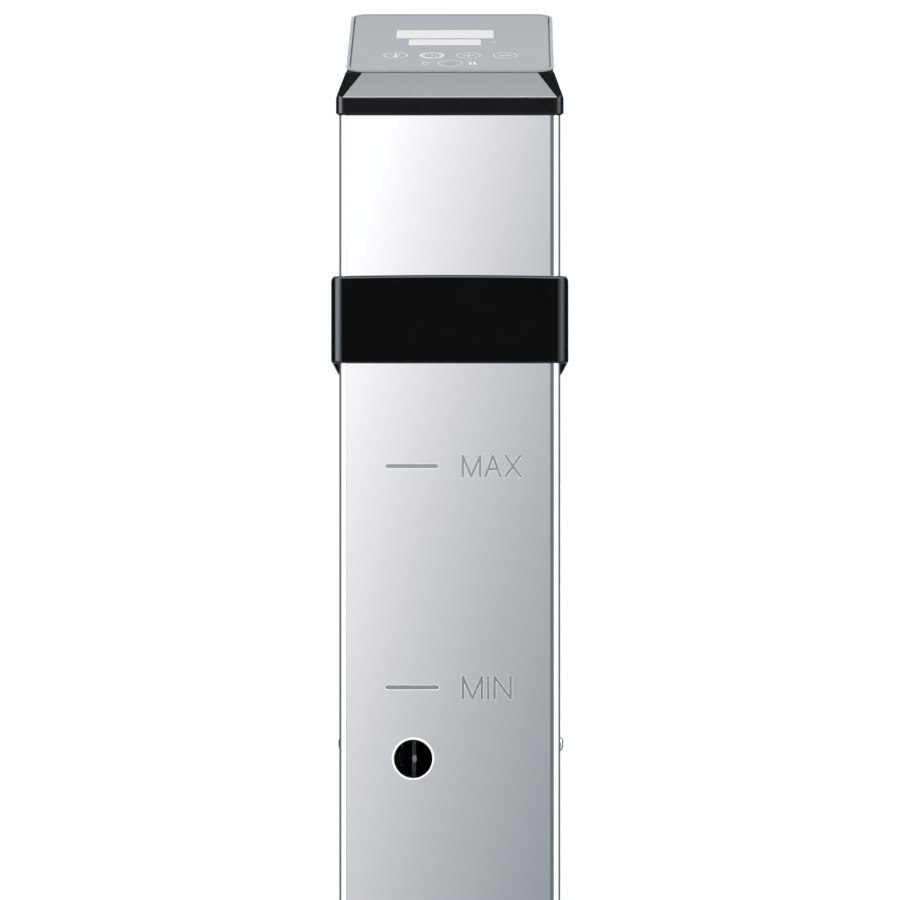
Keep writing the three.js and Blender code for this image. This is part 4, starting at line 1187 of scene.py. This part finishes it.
def front_cards(receivers):
    """A graded card for the steel, bright upper left and dim lower right, and the dark flag beside it."""
    material, tree, light = emission("graded_card", (1, 1, 1), 1.0)
    split = add_node(tree, "ShaderNodeSeparateXYZ", Vector=object_place(tree))
    side = math_node(tree, "MAXIMUM", split.outputs["X"], CARD["from"])
    across = math_node(tree, "MULTIPLY_ADD", side, CARD["across"], CARD["middle"])
    up = math_node(tree, "MULTIPLY_ADD", split.outputs["Y"], CARD["up"], across)
    strength = math_node(tree, "MINIMUM", math_node(tree, "POWER", 2.0, up), CARD["most"])
    tint = two_colors(tree, strength, (0.25, (0.86, 0.93, 1.0)), (0.95, (1, 1, 1)))
    set_inputs(tree, light, Color=tint, Strength=strength)
    upright = (math.radians(90), 0, 0)
    dark = emission("dark_flag", (0.75, 0.9, 1.0), FLAG_LEVEL)[0]
    card(receivers, "graded_card", CARD_EDGES, CARD_HEIGHTS, CARD_PLACE, upright, material)
    card(receivers, "dark_flag", (CARD_EDGES[1], FLAG_RIGHT), CARD_HEIGHTS, CARD_PLACE, upright, dark)


def side_card(name, side, receivers):
    """A reflector beside the column that fades towards its back."""
    stops = SIDE_STRIPS[side]
    front, back = stops[0][0], stops[-1][0]
    material, tree, light = emission(name, FLOOR_TINT, 1.0)
    split = add_node(tree, "ShaderNodeSeparateXYZ", Vector=object_place(tree))
    share = map_range(tree, split.outputs["X"], front, back)
    level = ramp_of_levels(tree, share, [((y - front) / (back - front), value) for y, value in stops])
    set_inputs(tree, light, Strength=level)
    upright = (math.radians(90), 0, math.radians(90))
    card(receivers, name, (front, back), SIDE_CARD_HEIGHTS, (side * SIDE_CARD_X, 0, 0), upright, material)


# ---- the studio round the object

# Brightness round the horizon, by azimuth in degrees: 0 in front, 90 to the right of the object.
HORIZON = [
    (-180, 0.75), (-168, 0.7), (-160, 0.1), (-140, 0.1), (-112, 0.2), (-107, 0.8), (-97, 1.1), (-88, 3.4),
    (-79, 6.0), (-66, 6.0), (-54, 3.8), (-46, 0.8), (-40, 0.3), (0, 0.5), (30, 0.3), (38, 0.4), (45, 0.5),
    (53, 1.5), (67, 3.6), (80, 2.2), (93, 1.1), (104, 1.0), (112, 0.3), (128, 0.05), (160, 0.1), (168, 0.7),
    (180, 0.75),
]
# Above it: a softbox in front, a plainer sky behind, and dark overhead.
SOFTBOX = 5.5
SKY = 1.0
OVERHEAD = 0.07
# Below it: plain + right * x + forward * -y of the direction, and dark straight down.
UNDER = {"plain": 0.62, "right": -0.15, "forward": 0.32}
SHADOW = 0.1
# What the camera sees behind the object, and what lights its matt surfaces.
BACKDROP = 1.05
AMBIENT = 0.92


def ring_of_light(tree, direction):
    """Brightness of the studio in a direction, as it shows in reflections."""
    split = add_node(tree, "ShaderNodeSeparateXYZ", Vector=direction)
    right, height = split.outputs["X"], split.outputs["Z"]
    ahead = math_node(tree, "MULTIPLY", split.outputs["Y"], -1.0)
    turn = math_node(tree, "ARCTAN2", right, ahead)
    place = math_node(tree, "MULTIPLY_ADD", turn, 0.5 / math.pi, 0.5)
    level = ramp_of_levels(tree, place, [(azimuth / 360 + 0.5, value) for azimuth, value in HORIZON])
    front = math_node(tree, "GREATER_THAN", ahead, 0.0)
    sky = math_node(tree, "MULTIPLY_ADD", front, SOFTBOX - SKY, SKY)
    across = math_node(tree, "MULTIPLY_ADD", right, UNDER["right"], UNDER["plain"])
    under = math_node(tree, "MULTIPLY_ADD", ahead, UNDER["forward"], across)
    zones = ((0.35, 0.5, sky), (0.84, 0.93, OVERHEAD), (-0.1, -0.2, under), (-0.965, -0.985, SHADOW))
    for start, end, value in zones:
        more = math_node(tree, "SUBTRACT", value, level)
        level = math_node(tree, "MULTIPLY_ADD", more, map_range(tree, height, start, end), level)
    return level


def world():
    """Even light for matt surfaces, the studio in reflections, and white where the camera looks past."""
    made = bpy.data.worlds.new("studio")
    bpy.context.scene.world = made
    made.use_nodes = True
    tree = made.node_tree
    tree.nodes.clear()
    direction = tree.nodes.new("ShaderNodeTexCoord").outputs["Generated"]
    split = add_node(tree, "ShaderNodeSeparateXYZ", Vector=direction)
    upward = math_node(tree, "MULTIPLY_ADD", split.outputs["Z"], 0.5, 0.5)
    tint = two_colors(tree, upward, (0.4, FLOOR_TINT), (0.47, STUDIO_TINT))
    white = (1, 1, 1, 1)
    shown = add_node(tree, "ShaderNodeBackground", Color=white, Strength=AMBIENT)
    studio = add_node(tree, "ShaderNodeBackground", Color=tint, Strength=ring_of_light(tree, direction))
    backdrop = add_node(tree, "ShaderNodeBackground", Color=white, Strength=BACKDROP)
    path = tree.nodes.new("ShaderNodeLightPath")
    for ray, light in (("Is Glossy Ray", studio), ("Is Camera Ray", backdrop)):
        mix = add_node(tree, "ShaderNodeMixShader", Fac=path.outputs[ray])
        tree.links.new(shown.outputs[0], mix.inputs[1])
        tree.links.new(light.outputs[0], mix.inputs[2])
        shown = mix
    add_node(tree, "ShaderNodeOutputWorld", Surface=shown.outputs[0])


def camera():
    data = bpy.data.cameras.new("camera")
    data.sensor_width = 36
    data.lens = FOCAL_MM
    data.clip_start, data.clip_end = 0.1, 100
    cam = bpy.data.objects.new("camera", data)
    spot = Vector((CAMERA_SIDE + AIM_X, -BODY_Y - CAMERA_DISTANCE, CAMERA_HEIGHT)) * MM
    cam.location = spot
    target = Vector((AIM_X, -BODY_Y, CAMERA_HEIGHT)) * MM
    cam.rotation_euler = (target - spot).to_track_quat("-Z", "Y").to_euler()
    bpy.context.scene.collection.objects.link(cam)
    bpy.context.scene.camera = cam


floor()
polished = polished_pieces()
front_cards(polished)
side_card("card_left", -1, polished)
side_card("card_right", 1, polished)
world()
camera()
bpy.context.scene.view_settings.view_transform = "Standard"
bpy.context.scene.view_settings.look = "None"
